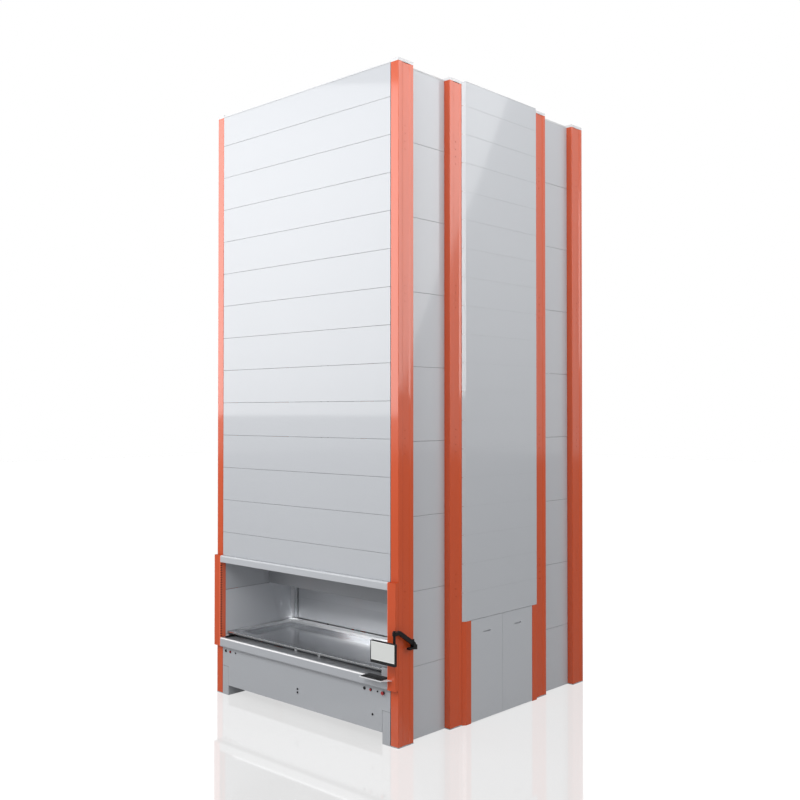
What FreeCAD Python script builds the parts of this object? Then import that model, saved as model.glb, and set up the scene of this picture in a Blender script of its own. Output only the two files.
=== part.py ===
import FreeCAD, Part
import math
import os
from FreeCAD import Vector

# Tray lift cabinet: a tall shaft between two stacks of storage trays, with an access bay at the front.
# X runs across the front, Y from the front to the back, Z up. The origin is on the floor, in the
# middle of the lift shaft. The right side is +X, and most pieces of the left side are its mirror image.
# The cabinet is laid out around its trays, so its width and depth follow from theirs.

# ---- trays and their rails ----
tray_half_width = 1420.0
tray_depth = 1085.0
tray_side_gap = 8.0
tray_shaft_gap = 25.0
tray_rear_gap = 60.0
tray_end_play = 5.0
tray_sheet = 1.5
tray_side_flange = 50.0
tray_end_flange = 100.0
tray_height = 75.0
tray_lip = 20.0
tray_rim_rise = 65.0
slot_length = 24.0
slot_width = 8.0
slot_pitch = 50.0
slot_inset = 12.0
lug_width = 40.0
lug_place = 200.0
lug_sheet = 4.0
lug_inset = 60.0
lug_drop = 63.0
rail_bearing = 20.0
rail_sheet = 3.0
rail_leg = 45.0
rail_play = 0.5
tray_pitch = 400.0
rear_first_level = 345.0
front_stack_rise = 233.0
stack_top_room = 250.0

# ---- whole cabinet ----
post_height = 7160.0
seam = 3.0
joint = 1.0
cut_past = 1.0
panel_sheet = 2.0
panel_rim = 25.0

# ---- uprights, their feet and caps ----
post_width = 115.0
post_depth = 235.0
post_sheet = 3.0
post_bend = 2.0
tight_bend = 0.5
post_lip = 40.0
post_chamfer = 8.0
flat_strip = 64.0
groove_width = 5.0
groove_depth = 12.0
strip_recess = 7.0
bevel_start = 165.0
bevel_end = 190.0
post_hole_offset = 108.0
post_hole_radius = 6.0
post_hole_pitch = 82.0
post_hole_first = 1444.0
post_hole_group = 1600.0
post_hole_count = 4
mast_room = 101.0
foot_plate = 10.0
foot_plate_reach = 112.0
foot_tongue_inset = 4.0
anchor_radius = 9.0
anchor_inset = 58.0
anchor_offset = 70.0
cap_height = 33.0
trim_height = 16.0
trim_overhang = 2.0

# ---- beams of the frame ----
beam_offset = 130.0
beam_width = 80.0
beam_height = 80.0
beam_wall = 3.0
beam_top_gap = 20.0
tie_gap = 1.0
tie_thickness = 7.0
tie_height = 60.0
tie_low_level = 200.0
tie_middle_level = 3500.0
tie_top_drop = 100.0
sill_beam_width = 60.0
sill_beam_height = 60.0
pit_beam_width = 80.0
pit_beam_height = 50.0

# ---- cladding ----
front_top_panel = 360.0
front_pitch = 400.0
side_plane_inset = 80.0
side_top_panel = 790.0
side_pitch = 800.0
roof_height = 18.0
cover_reach = 30.0
cover_foot_gap = 2.5
cover_flat_gap = 9.0
cover_lap = 33.0
cover_pitch = 320.4
cover_above_post = 30.0
lid_edge = 7.0
lid_skirt = 25.0
jamb_height = 1150.0
jamb_width = 88.0
jamb_return = 25.0

# ---- service panels in the sides of the shaft ----
service_recess = 5.0
service_rim = 20.0
service_floor_gap = 5.0
grip_drop = 163.0
grip_length = 130.0
grip_opening = 14.0
grip_cup_depth = 15.0
grip_cup_drop = 20.0

# ---- access bay ----
bay_reach = 45.0
bay_jamb_depth = 84.0
bay_height = 927.0
sill_top = 700.0
sill_height = 109.0
sill_pan_gap = 37.0
sill_back_drop = 40.0
cheek_rise = 4.0
edge_radius = 16.0
lintel_height = 85.0
lintel_back_rise = 33.0
cheek_hole_radius = 8.0
cheek_hole_pitch = 30.0
cheek_hole_rise = 15.0
cheek_hole_inset = 18.0
curtain_gap = 4.0
curtain_width = 26.0
curtain_depth = 34.0
liner_sheet = 2.0
hood_step = 730.0
hood_low_rise = 579.0
end_block_width = 162.0
end_block_depth = 16.0
end_block_height = 83.0
end_step_width = 52.0
end_step_height = 33.0
sensor_lead = 44.0
sensor_length = 120.0
sensor_width = 24.0
sensor_height = 16.0
sensor_lens_radius = 5.0

# ---- lower front ----
foot_height = 350.0
foot_width = 116.0
foot_depth = 252.0
toe_gap = 120.0
lower_panel_rim = 22.0
lower_panel_gap = 2.0

# ---- lift: masts, shafts, belts and carriage ----
mast_width = 60.0
mast_depth = 61.0
mast_wall = 4.0
mast_top_gap = 30.0
fin_thickness = 10.0
fin_reach = 25.0
mast_clip_pitch = 1600.0
mast_clip_first = 300.0
mast_clip_height = 60.0
shaft_radius = 20.0
shaft_overhang = 15.0
drive_level = 110.0
idler_drop = 115.0
pulley_radius = 60.0
pulley_width = 40.0
flange_radius = 68.0
pulley_flange = 2.0
pulley_from_frame = 46.0
belt_thickness = 4.7
belt_play = 0.3
belt_side_play = 1.0
running_play = 0.05
bearing_width = 40.0
bearing_depth = 100.0
bearing_height = 100.0
idler_block_height = 80.0
motor_inset = 275.0
gearbox_width = 150.0
gearbox_depth = 116.0
gearbox_height = 118.0
motor_radius = 50.0
motor_length = 282.0
carriage_overhang = 2.5
carriage_end_gap = 40.0
carriage_plate = 6.0
carriage_drop = 100.0
carriage_height = 390.0
crossbeam_inset = 145.0
crossbeam_width = 60.0
crossbeam_height = 45.0
guide_place = 300.0
guide_width = 20.0
guide_height = 20.0
shoe_length = 82.0
shoe_height = 80.0
shoe_play = 0.5
shoe_mast_gap = 3.0
shoe_slot_room = 2.0
clamp_height = 80.0
clamp_rise = 110.0
clamp_jaw = 15.0
extractor_half_width = 500.0
extractor_bar = 40.0
extractor_height = 20.0
extractor_setback = 45.0
extractor_play = 1.0
extractor_arm_width = 30.0
finger_height = 30.0
finger_length = 12.0

# ---- shutter between the bay and the shaft ----
shutter_inset = 95.0
shutter_floor_gap = 6.0
shutter_height = 519.0
shutter_thickness = 32.0
shutter_play = 3.0
shutter_side_play = 9.0
shutter_lower_leaf = 272.0
shutter_groove = 2.0
guide_channel_lip = 26.0
guide_wing_gap = 20.0
guide_wing_side_gap = 4.0
guide_length = 1029.0

# ---- control cabinet under the bay ----
control_box_inset = 430.0
control_box_width = 800.0
control_box_gap = 215.0
control_box_depth = 350.0
control_box_height = 560.0
control_box_sheet = 2.0

# ---- push buttons, switches and locks on the lower front panel ----
control_drop = 54.0
button_radius = 13.0
button_bezel_radius = 16.5
button_stand = 11.0
bezel_stand = 6.0
bezel_wall = 2.0
bezel_barrel = 18.0
control_play = 0.3
key_core_radius = 6.5
key_bezel_radius = 9.5
key_slot_width = 2.0
key_slot_margin = 2.0
core_stand = 1.0
mushroom_radius = 20.0
mushroom_height = 14.0
mushroom_neck_radius = 10.5
mushroom_neck = 10.0
mushroom_rounding = 5.0
lock_core_radius = 8.0
lock_bezel_radius = 11.5
black_left_inset = 64.0
red_left_inset = 152.0
key_left_inset = 256.0
black_right_inset = 379.0
red_right_inset = 286.0
key_right_inset = 184.0
stop_inset = 97.0
lock_right_inset = 258.0
lock_pair_place = -29.0
lock_drop = 30.0
lock_pitch = 38.0

# ---- keyboard and its shelf ----
shelf_left_inset = 325.0
shelf_side_gap = 2.0
shelf_nose = 24.0
shelf_tip_inset = 45.0
shelf_overhang = 88.0
shelf_seat = 55.0
shelf_sheet = 2.0
shelf_lip = 12.0
keyboard_side = 17.0
keyboard_width = 294.0
keyboard_depth = 133.0
keyboard_height = 8.0
keyboard_inset = 4.0
rest_gap = 0.2

# ---- monitor arm and monitor ----
arm_offset = 43.0
base_reach = 78.0
base_floor_drop = 33.0
swivel_inset = 15.0
link_low_forward = 37.0
link_low_rise = 63.0
link_run = 216.0
link_rise = 145.0
link_radius = 22.0
link_width = 28.0
cheek_sheet = 6.0
cheek_gap = 2.0
cheek_margin = 4.0
bracket_rise = 300.0
bracket_height = 96.0
bracket_sheet = 6.0
bracket_width = 54.0
ear_sheet = 8.0
ear_spread = 48.0
ear_play = 0.5
swivel_pin_radius = 8.0
swivel_barrel_radius = 18.0
pivot_pin_radius = 6.0
head_forward = 74.0
head_tube_radius = 14.0
head_above = 32.0
head_pin_radius = 8.0
knuckle_height = 36.0
monitor_reach = 265.0
monitor_width = 350.0
monitor_height = 230.0
monitor_drop = 311.0
monitor_thickness = 28.0
monitor_corner = 8.0
screen_side = 10.0
screen_top = 9.0
screen_chin = 24.0
screen_depth = 1.5
tilt_forward = 35.0
tilt_room = 18.0
tilt_pin_radius = 5.0
tilt_lug_radius = 11.0
tilt_lug_width = 25.0
tilt_ear = 6.0
tilt_ear_gap = 2.0

# ---- places across, worked out from the sizes above ----
liner_plane = tray_half_width + tray_side_gap
inner = liner_plane + liner_sheet
outer = inner + post_width
side_plane = outer - side_plane_inset
cover_plane = outer + cover_reach
service_plane = cover_plane - service_recess
belt_plane = liner_plane + carriage_plate + pulley_from_frame
shutter_half_width = liner_plane - shutter_inset
motor_place = inner - motor_inset
control_box_left = -inner + control_box_inset
shelf_left = inner - shelf_left_inset
shelf_right = liner_plane - shelf_side_gap
arm_plane = outer + arm_offset
monitor_left = arm_plane - monitor_reach

# ---- places from front to back ----
carriage_half_depth = tray_depth / 2 + carriage_overhang
shaft_half = carriage_half_depth + carriage_end_gap
tray_shift = shaft_half + tray_shaft_gap + tray_depth / 2
tray_front_gap = bay_jamb_depth - bay_reach + end_block_depth + tray_end_play
front = -tray_shift - tray_depth / 2 - tray_front_gap
back = tray_shift + tray_depth / 2 + tray_rear_gap
post_fronts = (front, -shaft_half - mast_room - post_depth, shaft_half + mast_room, back - post_depth)
bay_front = front - bay_reach
cheek_back = bay_front + bay_jamb_depth
sill_back = -tray_shift - tray_depth / 2 + tray_end_flange - sill_pan_gap
cover_flat_half = shaft_half + mast_room - cover_flat_gap
cover_half = shaft_half + mast_room + cover_lap
jamb_inner = cover_flat_half - jamb_width
belt_outer = pulley_radius + belt_play + belt_thickness
control_box_back = -shaft_half - control_box_gap
shelf_front = bay_front - shelf_overhang
shelf_back = bay_front + shelf_seat
swivel_y = front + post_depth - swivel_inset
link_low_y = swivel_y - link_low_forward
link_high_y = link_low_y - link_run
head_y = link_high_y - head_forward
tilt_y = head_y - tilt_forward
monitor_back = tilt_y - tilt_room

# ---- heights ----
tie_levels = (tie_low_level, tie_middle_level, post_height - tie_top_drop)
idler_level = post_height - idler_drop
cover_top = post_height + cover_above_post
grip_height = jamb_height - grip_drop
sill_bottom = sill_top - sill_height
cheek_bottom = sill_bottom + cheek_rise
cheek_hole_first = sill_top + cheek_hole_rise
lintel_bottom = sill_top + bay_height
lintel_top = lintel_bottom + lintel_height
hood_low = sill_top + hood_low_rise
tray_rim_level = sill_top + tray_rim_rise
front_first_level = lintel_top + front_stack_rise
carriage_bottom = tray_rim_level - tray_height - carriage_drop
carriage_top = carriage_bottom + carriage_height
clamp_level = carriage_bottom + clamp_rise
shutter_bottom = tray_rim_level + shutter_floor_gap
shutter_seam_level = shutter_bottom + shutter_lower_leaf
guide_top = shutter_bottom + guide_length
control_level = sill_bottom - control_drop
lock_upper_level = foot_height - lock_drop
lock_lower_level = lock_upper_level - lock_pitch
bracket_bottom = sill_top + bracket_rise
bracket_top = bracket_bottom + bracket_height
ear_top = bracket_bottom + ear_spread
link_low_z = bracket_bottom + link_low_rise
link_high_z = link_low_z + link_rise
base_floor = link_low_z - base_floor_drop
head_top = link_high_z + head_above
monitor_bottom = link_high_z - monitor_drop


# ---- shapes that many pieces share ----
def block(x0, x1, y0, y1, z0, z1):
    """Box given by its low and high value along each axis."""
    return Part.makeBox(x1 - x0, y1 - y0, z1 - z0, Vector(x0, y0, z0))


def rod(radius, start, end):
    """Round bar between two points."""
    run = end - start
    return Part.makeCylinder(radius, run.Length, start, run)


def mirrored(solids):
    """The same pieces on the other side of the cabinet."""
    return [solid.mirror(Vector(0, 0, 0), Vector(1, 0, 0)) for solid in solids]


def both_sides(solids):
    return solids + mirrored(solids)


def cassette(x0, x1, y0, y1, z0, z1, skin, sheet):
    """Folded sheet box with its closed face on the side named by skin, and open opposite it."""
    low = [x0 + sheet, y0 + sheet, z0 + sheet]
    high = [x1 - sheet, y1 - sheet, z1 - sheet]
    axis = "xyz".index(skin[1])
    if skin[0] == "+":
        low[axis] -= 2 * sheet
    else:
        high[axis] += 2 * sheet
    hollow = block(low[0], high[0], low[1], high[1], low[2], high[2])
    return block(x0, x1, y0, y1, z0, z1).cut(hollow)


def unit(a, b):
    length = math.hypot(b[0] - a[0], b[1] - a[1])
    return ((b[0] - a[0]) / length, (b[1] - a[1]) / length)


def turn_at(a, b, c):
    """Positive where the run of points turns left at b."""
    first = unit(a, b)
    second = unit(b, c)
    return first[0] * second[1] - first[1] * second[0]


def shifted_left(points, sheet):
    """Corners of the run that lies one sheet to the left, with mitred corners."""
    moved = []
    for i, point in enumerate(points):
        normals = []
        if i > 0:
            along = unit(points[i - 1], point)
            normals.append((-along[1], along[0]))
        if i < len(points) - 1:
            along = unit(point, points[i + 1])
            normals.append((-along[1], along[0]))
        nx = sum(n[0] for n in normals) / len(normals)
        ny = sum(n[1] for n in normals) / len(normals)
        reach = sheet / (nx * nx + ny * ny)
        moved.append((point[0] + nx * reach, point[1] + ny * reach))
    return moved


def rounded_run(points, radii, place):
    """Edges along a run of points, with an arc of the corner's radius at each inner point."""
    edges = []
    start = points[0]
    for i in range(1, len(points) - 1):
        corner = points[i]
        to_last = unit(corner, points[i - 1])
        to_next = unit(corner, points[i + 1])
        half = math.acos(max(-1.0, min(1.0, to_last[0] * to_next[0] + to_last[1] * to_next[1]))) / 2
        cut = radii[i] / math.tan(half)
        toward = unit((0, 0), (to_last[0] + to_next[0], to_last[1] + to_next[1]))
        reach = radii[i] / math.sin(half)
        centre = (corner[0] + toward[0] * reach, corner[1] + toward[1] * reach)
        enter = (corner[0] + to_last[0] * cut, corner[1] + to_last[1] * cut)
        leave = (corner[0] + to_next[0] * cut, corner[1] + to_next[1] * cut)
        middle = (centre[0] - toward[0] * radii[i], centre[1] - toward[1] * radii[i])
        edges.append(Part.LineSegment(place(start), place(enter)).toShape())
        edges.append(Part.Arc(place(enter), place(middle), place(leave)).toShape())
        start = leave
    edges.append(Part.LineSegment(place(start), place(points[-1])).toShape())
    return edges


def folded_face(points, sheet, bends, place):
    """Section of a folded sheet that lies to the left of a run of points.

    bends holds the inside radius of each fold, with one value for each point of the run.
    """
    right_radii = [0.0] * len(points)
    left_radii = [0.0] * len(points)
    for i in range(1, len(points) - 1):
        if turn_at(points[i - 1], points[i], points[i + 1]) > 0:
            right_radii[i] = bends[i] + sheet
            left_radii[i] = bends[i]
        else:
            right_radii[i] = bends[i]
            left_radii[i] = bends[i] + sheet
    left = shifted_left(points, sheet)
    edges = rounded_run(points, right_radii, place)
    edges.append(Part.LineSegment(place(points[-1]), place(left[-1])).toShape())
    edges += rounded_run(left[::-1], left_radii[::-1], place)
    edges.append(Part.LineSegment(place(left[0]), place(points[0])).toShape())
    return Part.Face(Part.Wire(edges))


def folded_column(points, sheet, bends, z0, z1):
    """Folded sheet with its (x, y) section carried from z0 up to z1."""
    face = folded_face(points, sheet, bends, lambda p: Vector(p[0], p[1], z0))
    return face.extrude(Vector(0, 0, z1 - z0))


def folded_rail(points, sheet, bends, x0, x1):
    """Folded sheet with its (y, z) section carried from x0 to x1."""
    face = folded_face(points, sheet, bends, lambda p: Vector(x0, p[0], p[1]))
    return face.extrude(Vector(x1 - x0, 0, 0))


def tube_beam(x0, x1, y0, y1, z0, z1, along):
    """Rectangular hollow section, open at the two ends that face along the named axis."""
    low = [x0 + beam_wall, y0 + beam_wall, z0 + beam_wall]
    high = [x1 - beam_wall, y1 - beam_wall, z1 - beam_wall]
    axis = "xyz".index(along)
    low[axis] -= 2 * beam_wall
    high[axis] += 2 * beam_wall
    hollow = block(low[0], high[0], low[1], high[1], low[2], high[2])
    return block(x0, x1, y0, y1, z0, z1).cut(hollow)


def levels_down(top, first, pitch, bottom):
    """Heights of the seams below top: the first panel's height, then one pitch each, above bottom."""
    levels = [top]
    level = top - first
    while level > bottom + pitch / 4:
        levels.append(level)
        level -= pitch
    levels.append(bottom)
    return levels


def write(name, solids):
    """One STEP file holds the separate solids of one node."""
    Part.makeCompound(solids).exportStep(os.path.join("parts", name + ".step"))


# ---- frame ----
def upright(y0):
    """Folded upright of the right side: flat strip, groove, recessed strip with holes, bevel."""
    y1 = y0 + post_depth
    recessed = outer - strip_recess
    run = [
        (inner, y0 + post_lip),
        (inner, y0 + post_chamfer),
        (inner + post_chamfer, y0),
        (outer, y0),
        (outer, y0 + flat_strip),
        (outer - groove_depth, y0 + flat_strip),
        (outer - groove_depth, y0 + flat_strip + groove_width),
        (recessed, y0 + flat_strip + groove_width),
        (recessed, y0 + bevel_start),
        (outer, y0 + bevel_end),
        (outer, y1),
        (inner, y1),
        (inner, y1 - post_lip),
    ]
    bends = [post_bend] * len(run)
    bends[5] = bends[6] = bends[7] = tight_bend
    post = folded_column(run, post_sheet, bends, foot_plate, post_height)
    holes = []
    group = post_hole_first
    while group + post_hole_pitch * post_hole_count < post_height:
        for i in range(post_hole_count):
            level = group + i * post_hole_pitch
            start = Vector(recessed - 2 * post_sheet, y0 + post_hole_offset, level)
            holes.append(rod(post_hole_radius, start, start + Vector(4 * post_sheet, 0, 0)))
        group += post_hole_group
    return post.cut(holes)


def uprights():
    return both_sides([upright(y0) for y0 in post_fronts])


def foot_plate_piece(y0):
    """Plate under an upright, reaching inward to its anchor hole."""
    under_post = block(inner, outer, y0, y0 + post_depth, 0, foot_plate)
    tongue = block(inner - foot_plate_reach, inner, y0 + foot_tongue_inset, y0 + post_depth, 0, foot_plate)
    hole = Vector(inner - anchor_inset, y0 + anchor_offset, -foot_plate)
    plate = under_post.fuse(tongue).removeSplitter()
    return plate.cut(rod(anchor_radius, hole, hole + Vector(0, 0, 3 * foot_plate)))


def upright_feet():
    return both_sides([foot_plate_piece(y0) for y0 in post_fronts])


def top_caps():
    """Cap on each upright, and trim strips along the top edges between them."""
    cap_top = post_height + cap_height
    caps = []
    for y0 in post_fronts:
        caps.append(cassette(inner, outer, y0, y0 + post_depth, post_height, cap_top, "+z", panel_sheet))
    for y0, y1 in side_bays():
        trim_in = side_plane - panel_rim
        trim_out = side_plane + trim_overhang
        trim_top = post_height + trim_height
        caps.append(cassette(trim_in, trim_out, y0, y1, post_height, trim_top, "+z", panel_sheet))
    trims = []
    for y0, y1 in ((front - trim_overhang, front + panel_rim), (back - panel_rim, back + trim_overhang)):
        trims.append(cassette(-inner, inner, y0, y1, post_height, post_height + trim_height, "+z",
                              panel_sheet))
    return both_sides(caps) + trims


def side_bays():
    """Front and back of the two clad bays of a side, between neighbouring uprights."""
    bays = []
    for near, far in ((0, 1), (2, 3)):
        bays.append((post_fronts[near] + post_depth, post_fronts[far]))
    return bays


def frame_beams():
    """Cross beams between the uprights, side ties, and the floor and top beams of the shaft."""
    beams = []
    top = post_height - beam_top_gap
    for i, y0 in enumerate(post_fronts):
        level = foot_height + foot_plate if i == 0 else foot_plate
        for z0 in (level, top - beam_height):
            y = y0 + beam_offset
            beams.append(tube_beam(-inner, inner, y, y + beam_width, z0, z0 + beam_height, "x"))
    beams.append(block(-inner + sill_beam_width, inner - sill_beam_width, -pit_beam_width / 2,
                       pit_beam_width / 2, 0, pit_beam_height))
    pairs = []
    sill_start = post_fronts[1] + post_depth
    sill_end = post_fronts[2] + foot_tongue_inset
    pairs.append(tube_beam(inner - sill_beam_width, inner, sill_start, sill_end, 0, sill_beam_height, "y"))
    top_start = post_fronts[1] + beam_offset + beam_width
    top_end = post_fronts[2] + beam_offset
    pairs.append(tube_beam(inner - sill_beam_width, inner, top_start, top_end, top - sill_beam_height, top,
                           "y"))
    for y0, y1 in side_bays():
        for level in tie_levels:
            x0 = inner + tie_gap
            pairs.append(block(x0, x0 + tie_thickness, y0, y1, level, level + tie_height))
    return beams + both_sides(pairs)


# ---- cladding ----
def wide_panels(y0, y1, skin, bottom, top):
    """Panels across the whole width between the uprights, one above the other."""
    seams = levels_down(top, front_top_panel, front_pitch, bottom)
    panels = []
    for high, low in zip(seams, seams[1:]):
        x = inner - seam / 2
        panels.append(cassette(-x, x, y0, y1, low + seam / 2, high - seam / 2, skin, panel_sheet))
    return panels


def front_panels():
    return wide_panels(front, front + panel_rim, "-y", lintel_top, post_height)


def rear_panels():
    return wide_panels(back - panel_rim, back, "+y", foot_plate, post_height)


def side_panels():
    seams = levels_down(post_height, side_top_panel, side_pitch, 0)
    panels = []
    for y0, y1 in side_bays():
        for high, low in zip(seams, seams[1:]):
            panels.append(cassette(side_plane - panel_rim, side_plane, y0 + seam / 2, y1 - seam / 2,
                                   low + seam / 2, high - seam / 2, "+x", panel_sheet))
    return both_sides(panels)


def shaft_covers():
    """Bevelled covers of the lift shaft, which stand out past the uprights on both sides."""
    foot = outer + cover_foot_gap
    run = [(foot, -cover_half), (cover_plane, -cover_flat_half), (cover_plane, cover_flat_half),
           (foot, cover_half)]
    bends = [post_bend] * len(run)
    covers = []
    level = jamb_height
    while level < cover_top - seam:
        top = min(level + cover_pitch, cover_top)
        covers.append(folded_column(run, panel_sheet, bends, level + seam / 2, top - seam / 2))
        level = top
    return both_sides(covers)


def shaft_jambs():
    """Bevelled jambs on both sides of the service panels, below the shaft covers."""
    foot = outer + cover_foot_gap
    run = [
        (cover_plane - jamb_return, jamb_inner),
        (cover_plane, jamb_inner),
        (cover_plane, cover_flat_half),
        (foot, cover_half),
    ]
    rear_jamb = folded_column(run, panel_sheet, [post_bend] * len(run), 0, jamb_height)
    front_jamb = rear_jamb.mirror(Vector(0, 0, 0), Vector(0, 1, 0))
    return both_sides([front_jamb, rear_jamb])


def roof_panels():
    """Roof sheets over the two stacks, and the lid of the shaft."""
    under = post_height - beam_top_gap
    x = inner - seam / 2
    roofs = []
    for y0, y1 in ((front + panel_rim + seam, post_fronts[1] + post_depth),
                   (post_fronts[2], back - panel_rim - seam)):
        roofs.append(cassette(-x, x, y0, y1, under, under + roof_height, "+z", panel_sheet))
    lid_x = cover_plane - panel_sheet - 2 * seam
    lid_y = post_fronts[2] - seam
    skirt = cassette(-lid_x, lid_x, -lid_y, lid_y, cover_top - lid_skirt, cover_top + lid_edge, "+z",
                     panel_sheet)
    edge = block(-cover_plane, cover_plane, -cover_flat_half, cover_flat_half, cover_top,
                 cover_top + lid_edge)
    roofs.append(skirt.fuse(edge).removeSplitter())
    return roofs


def service_panel():
    """Right rear service panel, with a finger grip near its top: a slot with a cup behind it."""
    x0 = service_plane - service_rim
    y1 = jamb_inner - seam / 2
    z1 = jamb_height - seam
    panel = cassette(x0, service_plane, seam / 2, y1, service_floor_gap, z1, "+x", panel_sheet)
    middle = jamb_inner / 2
    half = grip_length / 2
    cup_low = grip_height - grip_opening / 2 - grip_cup_drop
    cup_high = grip_height + grip_opening / 2
    back_x = service_plane - grip_cup_depth
    cup = block(back_x - panel_sheet, service_plane - panel_sheet, middle - half - panel_sheet,
                middle + half + panel_sheet, cup_low - panel_sheet, cup_high + panel_sheet)
    hollow = block(back_x, service_plane - panel_sheet, middle - half, middle + half, cup_low, cup_high)
    slot = block(service_plane - 2 * panel_sheet, service_plane + panel_sheet, middle - half, middle + half,
                 grip_height - grip_opening / 2, cup_high)
    return panel.fuse(cup.cut(hollow)).cut(slot)


# ---- access bay ----
def access_cheeks():
    """Folded cheek on each side of the bay, standing out in front of the upright, with sensor holes."""
    run = [
        (liner_plane, cheek_back),
        (liner_plane, bay_front),
        (outer, bay_front),
        (outer, front - panel_sheet),
    ]
    cheek = folded_column(run, panel_sheet, [post_bend] * len(run), cheek_bottom, lintel_top)
    holes = []
    level = cheek_hole_first
    while level < lintel_bottom - cheek_hole_inset:
        start = Vector(liner_plane - panel_sheet, bay_front + cheek_hole_inset, level)
        holes.append(rod(cheek_hole_radius, start, start + Vector(3 * panel_sheet, 0, 0)))
        level += cheek_hole_pitch
    return both_sides([cheek.cut(holes)])


def sill():
    """Folded sill under the bay, with a large rounding along its front edge."""
    run = [
        (sill_back, sill_top - sill_back_drop),
        (sill_back, sill_top),
        (bay_front, sill_top),
        (bay_front, sill_bottom),
        (front - panel_sheet, sill_bottom),
    ]
    bends = [post_bend, post_bend, edge_radius, post_bend, post_bend]
    x = liner_plane - joint
    return [folded_rail(run, panel_sheet, bends, -x, x)]


def lintel():
    """Folded lintel over the bay, with a large rounding along its front top edge."""
    run = [
        (front - panel_sheet, lintel_top),
        (bay_front, lintel_top),
        (bay_front, lintel_bottom),
        (cheek_back, lintel_bottom),
        (cheek_back, lintel_bottom + lintel_back_rise),
    ]
    bends = [post_bend, edge_radius, post_bend, post_bend, post_bend]
    x = liner_plane - joint
    return [folded_rail(run, panel_sheet, bends, -x, x)]


def sill_ends():
    """Covers standing on the sill: a tall one before the tray's right end, a low step at its left end."""
    x1 = liner_plane - joint
    y0 = cheek_back
    y1 = y0 + end_block_depth
    tall = cassette(x1 - end_block_width, x1, y0, y1, sill_top, sill_top + end_block_height,
                    "-y", panel_sheet)
    low = cassette(-x1, -x1 + end_step_width, y0, y1, sill_top, sill_top + end_step_height,
                   "-y", panel_sheet)
    return [tall, low]


def bay_sensors():
    """Light curtain bars behind the cheeks' holes, and the tray sensor lying on the sill's left end."""
    x0 = inner + curtain_gap
    y0 = bay_front + panel_sheet + joint
    bar = block(x0, x0 + curtain_width, y0, y0 + curtain_depth, sill_top + seam, lintel_bottom)
    left = -liner_plane + joint + end_step_width
    case_front = cheek_back - sensor_lead
    case_back = case_front + sensor_length
    case = block(left, left + sensor_width, case_front, case_back, sill_top, sill_top + sensor_height)
    lens_at = Vector(left + sensor_width - panel_sheet, case_back - 2 * sensor_lens_radius,
                     sill_top + sensor_height / 2)
    lens = rod(sensor_lens_radius, lens_at, lens_at + Vector(2 * panel_sheet, 0, 0))
    return both_sides([bar]) + [case.fuse(lens)]


def bay_liners():
    """Lining of the bay's two sides, in a lower and an upper sheet."""
    y1 = -shaft_half - mast_depth - seam
    sheets = []
    for z0, z1 in ((sill_top + seam, hood_low - seam / 2), (hood_low + seam / 2, lintel_top - seam)):
        sheets.append(block(liner_plane, inner, cheek_back + seam, y1, z0, z1))
    return both_sides(sheets)


def bay_hood():
    """Ceiling of the bay: high at the front, with a step down to the low part before the shaft."""
    step = front + hood_step
    run = [
        (cheek_back + panel_sheet, lintel_top),
        (step, lintel_top),
        (step, hood_low),
        (-shaft_half - shutter_side_play, hood_low),
    ]
    x = liner_plane - joint
    return [folded_rail(run, panel_sheet, [post_bend] * len(run), -x, x)]


# ---- lower front ----
def front_feet():
    """Folded foot cover beside each front upright, with a deep inner side."""
    x0 = inner - foot_width
    run = [(x0, front + foot_depth), (x0, front), (inner - seam / 2, front)]
    cover = folded_column(run, panel_sheet, [post_bend] * len(run), 0, foot_height - seam / 2)
    return both_sides([cover])


def lower_front_panel():
    """Front cover below the sill: full width above the feet, narrower between them."""
    top = sill_bottom - lower_panel_gap

    def both_parts(inset, depth_in):
        wide = block(-inner + seam / 2 + inset, inner - seam / 2 - inset, front + depth_in,
                     front + lower_panel_rim + depth_in, foot_height + seam / 2 + inset, top - inset)
        half = inner - foot_width - seam / 2
        narrow = block(-half + inset, half - inset, front + depth_in, front + lower_panel_rim + depth_in,
                       toe_gap + inset, foot_height + seam / 2 + 2 * inset + panel_sheet)
        return wide.fuse(narrow).removeSplitter()

    panel = both_parts(0, 0).cut(both_parts(panel_sheet, panel_sheet))
    holes = []
    for name, x, z, radius in controls():
        hole = radius + control_play + bezel_wall + control_play
        holes.append(rod(hole, Vector(x, front - panel_sheet, z), Vector(x, front + 2 * panel_sheet, z)))
    return [panel.cut(holes)]


def controls():
    """Name, place across, height and moving radius of every control on the lower front panel."""
    return (
        ("button_black_left", -inner + black_left_inset, control_level, button_radius),
        ("button_red_left", -inner + red_left_inset, control_level, button_radius),
        ("key_switch_left", -inner + key_left_inset, control_level, key_core_radius),
        ("button_black_right", inner - black_right_inset, control_level, button_radius),
        ("button_red_right", inner - red_right_inset, control_level, button_radius),
        ("key_switch_right", inner - key_right_inset, control_level, key_core_radius),
        ("emergency_stop", inner - stop_inset, control_level, mushroom_neck_radius),
        ("lock_upper", lock_pair_place, lock_upper_level, lock_core_radius),
        ("lock_lower", lock_pair_place, lock_lower_level, lock_core_radius),
        ("lock_right", inner - lock_right_inset, lock_lower_level, lock_core_radius),
    )


def bezel_radius(name):
    if name.startswith("lock"):
        return lock_bezel_radius
    if name.startswith("key"):
        return key_bezel_radius
    return button_bezel_radius


def control_bezels():
    """Ring in front of the panel around each control, with a barrel through the panel's hole."""
    bezels = []
    for name, x, z, radius in controls():
        face = rod(bezel_radius(name), Vector(x, front - bezel_stand, z), Vector(x, front, z))
        barrel = rod(radius + control_play + bezel_wall, Vector(x, front, z),
                     Vector(x, front + bezel_barrel, z))
        bore = rod(radius + control_play, Vector(x, front - 2 * bezel_stand, z),
                   Vector(x, front + 2 * bezel_barrel, z))
        bezels.append(face.fuse(barrel).cut(bore))
    return bezels


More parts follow.
